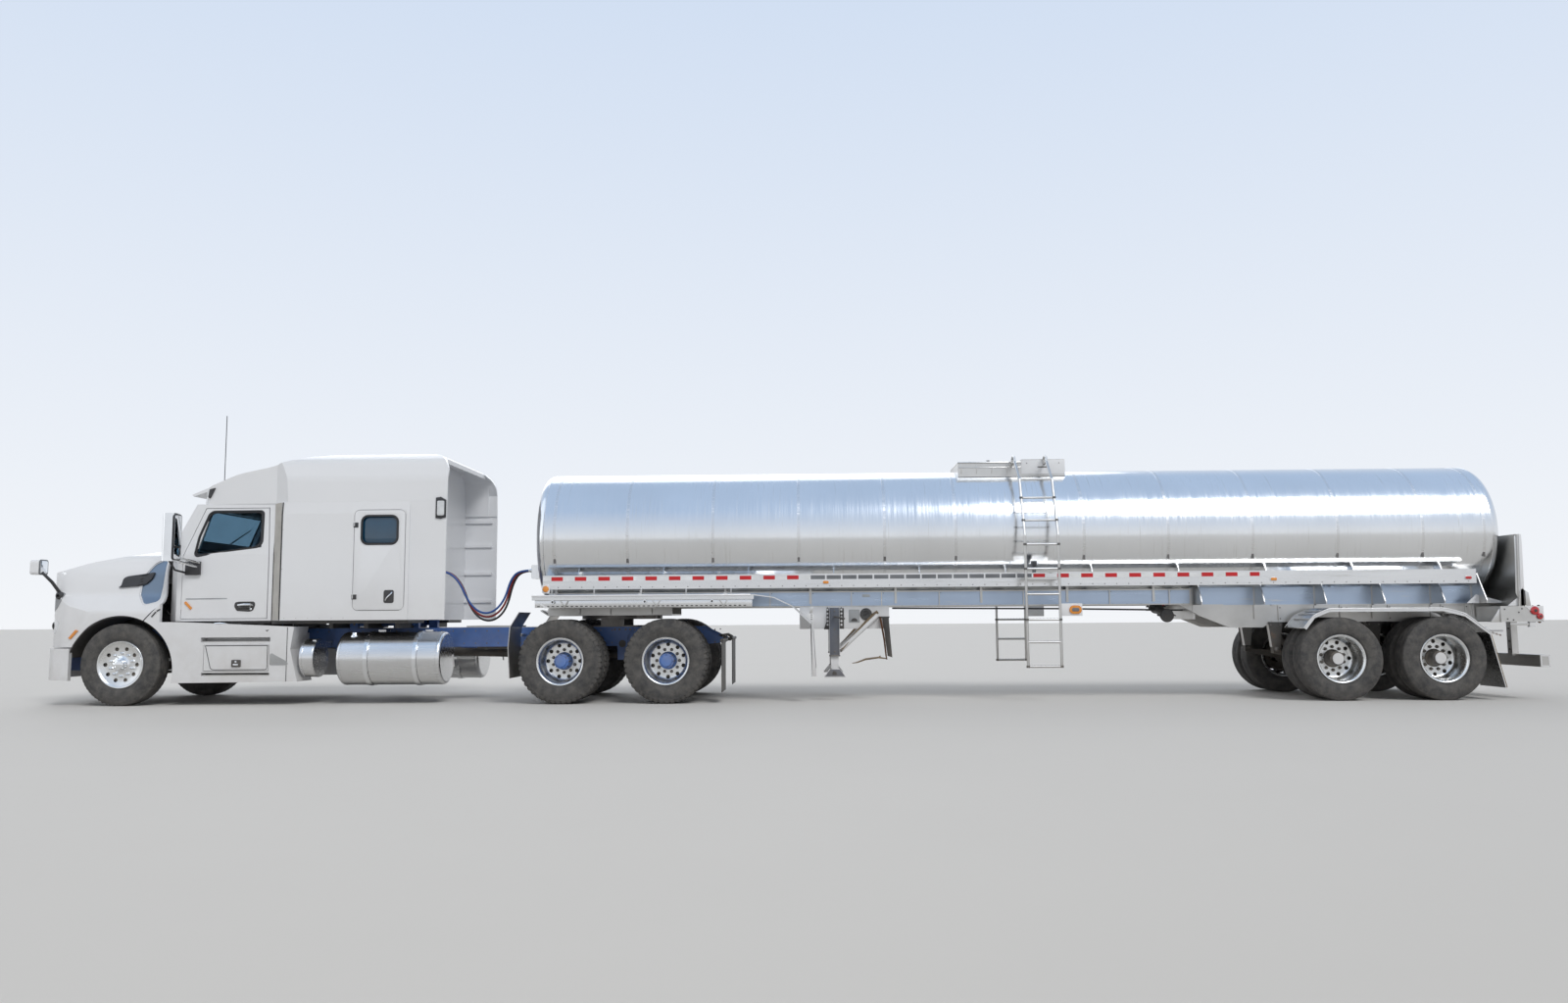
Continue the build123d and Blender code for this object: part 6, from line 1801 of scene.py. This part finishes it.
for _ in form.sides():
    form.use(0).frame_ring(rounded(17602, 17718, 398, 539, 16), "y", 1146, 1154, 16)
    for z in (600, 700, 860):
        form.use(4).bolt((17560, 600, z), "x", -1, 20, 8)
    form.use(1).block(17550, 17640, 544, 656, 540, 548)
for y in (-760, -380, 0, 380, 760):
    form.use(1).prism([(17452, 1150), (17482, 2010), (17492, 2010), (17470, 1150)], "y", y - 5, y + 5)
    form.use(4).dome((17492, y, 1960), 12, "x", 1, 5, 10, 2)
form.use(1).block(17440, 17486, -1090, 1090, 2012, 2026)
form.place("rear_trim", [WHITE, ALU, BLACK, RED, STEEL, AMBER, TAPE_WHITE, TAPE_RED], "trailer", bevel=1)

# Discharge valve

form = Form()
form.use(0).turned([(130, -14), (130, 0), (98, 2), (98, 30), (130, 32), (130, 46)], (VALVE_X, 0, 1128), "z", 32)
for x, y in arc(VALVE_X, 0, 114, 0, 315, 7):
    form.use(1).bolt((x, y, 1174), "z", 1, 18, 10)
form.use(1).bar((VALVE_X, 60, 1160), (VALVE_X, 190, 1160), 14)
form.use(2).tube([(VALVE_X, 180, 1160), (13360, 210, 1180), (13470, 215, 1190)], [12, 10, 16], 12)
form.use(0).turned([(84, 0), (88, 10), (88, 30), (80, 42), (TIP, 44)], (VALVE_X, -462, 1050), "y", 28, sign=-1)
for s in (-1, 1):
    form.use(1).tube(
        [(VALVE_X + s * 84, -440, 1055), (VALVE_X + s * 110, -450, 1052), (VALVE_X + s * 106, -500, 1046)], [9, 9, 7],
        8,
    )
for x in range(5600, 17000, 900):
    form.use(0).turned([(14, 0), (14, 4), (TIP, 5)], (x, 0, 1211), "z", 12)
form.place("valve_trim", [DARK, STEEL, RED], "trailer")

# Tractor frame, engine bay and axles

form = Form()
for _ in form.sides():
    y = 430
    for x in range(1150, 7500, 150):
        for z in (745, 905):
            form.use(1).bolt((x, y, z), "y", 1, 15, 6)
    form.use(0).prism([(2434, 960), (2620, 960), (2600, 720), (2570, 420), (2480, 420), (2450, 720)], "y", 434, 446)
    bracket = [(6090, 946), (6390, 946), (6310, 820), (6300, 520), (6180, 520), (6170, 820)]
    form.use(0).prism(bracket, "y", 434, 452)
    form.use(2).ring(30, 46, 0, 10, (6240, 452, 730), "y", 24)
    form.use(2).disc(30, 4, (6240, 452, 730), "y", 20)
    for x in (6140, 6200, 6280, 6340):
        form.use(1).bolt((x, 452, 915), "y", 1, 22, 9)
    for x in DRIVE_X:
        form.use(3).turned(
            [(97, 0), (104, 14), (106, 34), (99, 42), (106, 52), (104, 72), (97, 84)], (x + 200, 380, 615), "z", 28,
        )
        for a in (-60, 60):
            form.use(1).tube(
                [(x + a, 316, 640), (x + a, 316, 430), (x + a, 380, 408), (x + a, 444, 430), (x + a, 444, 640)], 9, 8,
            )
        form.use(2).block(x - 300, x + 340, 340, 420, 614, 640)
        form.use(2).turned(BRAKE_CHAMBER, (x - 270, 330, 470), "x", 24)
        form.use(3).tube([(x - 200, 330, 556), (x - 230, 320, 660), (x - 200, 200, 800)], 11, 8)
        form.use(2).tube([(x + 120, 250, 900), (x + 60, 300, 560)], [34, 30], 12)
    form.use(2).turned(
        [(112, -10), (118, 0), (118, 30), (90, 42), (60, 46), (60, 60)], (DRIVE_X[0], 560, DRIVE_R), "y", 28,
    )
for x in DRIVE_X:
    form.use(2).turned(
        [(60, -210), (130, -190), (190, -120), (215, 0), (190, 90), (120, 140), (TIP, 150)], (x, 0, DRIVE_R), "x", 36,
    )
    for y, z in arc(0, DRIVE_R, 176, 0, 330, 11):
        form.use(1).bolt((x - 118, y, z), "x", -1, 18, 9)
for y in (-250, 250):
    form.use(4).turned(
        [(TIP, -380), (80, -366), (130, -330), (136, -300), (136, 300), (130, 330), (80, 366), (TIP, 380)],
        (4620, y, 800), "x", 36,
    )
    for t in (-220, 220):
        form.use(1).ring(137, 141, -18, 18, (4620 + t, y, 800), "x", 36)
for _ in form.sides():
    # Dark slabs and crossmembers under the cab and sleeper floors: partly underfloor structure, partly painted shade
    # in the gap over the frame
    form.use(4).block(640, 1830, 520, 1000, 1020, 1054)
    form.use(4).block(1900, 3640, 520, 1120, 1014, 1054)
    for x in (900, 1300, 1700, 2150, 2600, 3050, 3450):
        form.use(4).block(x - 26, x + 26, 432, 980, 952, 1020)
    form.use(0).tube([(2650, 470, 985), (2900, 480, 1000), (3500, 480, 1000)], 22, 10)
    for x in (2720, 3290):
        form.use(0).block(x - 50, x + 50, 440, 520, 950, 1040)
        form.use(1).bolt((x, 520, 1000), "y", 1, 24, 10)
form.place("tractor_gear", [BLUE, STEEL, IRON, HOSE, DARK], "tractor")

form = Form()
for _ in form.sides():
    form.use(1).tube([(430, 200, 1250), (520, 260, 1230), (470, 300, 1050)], 30, 12)
    for k in range(6):
        x = -560 + 150 * k
        form.use(0).block(x, x + 110, 150, 262, 1330, 1386)
        form.use(2).bolt((x + 55, 200, 1386), "z", 1, 20, 10)
        form.use(1).tube([(x + 55, 262, 1300), (x + 55, 330, 1260), (x + 55, 330, 1190)], 18, 10)
for k in range(6):
    a = 2 * math.pi * k / 6
    blade = [
        (-800, 0, 1000), (-812, 130 * math.cos(a), 1000 + 130 * math.sin(a)),
        (-790, 300 * math.cos(a + 0.12), 1000 + 300 * math.sin(a + 0.12)),
    ]
    form.use(3).tube(blade, [50, 60, 54], 8, flat=0.14)
form.use(2).turned([(90, -20), (90, 10), (60, 30), (TIP, 32)], (-800, 0, 1000), "x", 24, sign=-1)
form.use(3).frame_ring(rounded(-400, 400, 660, 1380, 60), "x", -930, -840, 50)
for k in range(46):
    z = 690 + 15 * k
    form.use(4).block(-925, -905, -350, 350, z, z + 5)
form.use(3).turned([(150, -300), (150, 300), (120, 330), (TIP, 332)], (200, 420, 1330), "x", 28)
form.use(1).tube([(-400, 330, 1190), (-300, 380, 1240), (-120, 410, 1310)], 55, 14)
form.place("engine_trim", [IRON, HOSE, STEEL, BLACK, ALU], "tractor", bevel=2)

# Quarter fenders, hangers and steps behind the sleeper

form = Form()
for _ in form.sides():
    form.use(0).tube([(7500, 300, 820), (7560, 420, 830), (7600, 600, 800)], 20, 10)
    form.use(1).ribbon([(4230, 1170, 620), (4236, 1170, 560), (4250, 1170, 470)], OUT, 20, 8)
for k in range(9):
    x = 4190 + 62 * k
    form.use(2).block(x, x + 40, -400, 400, 966, 974)
form.use(2).block(4170, 4760, -404, -396, 950, 974)
form.use(2).block(4170, 4760, 396, 404, 950, 974)
form.place("deck_plate", [DARK, ALU, ALU], "tractor")
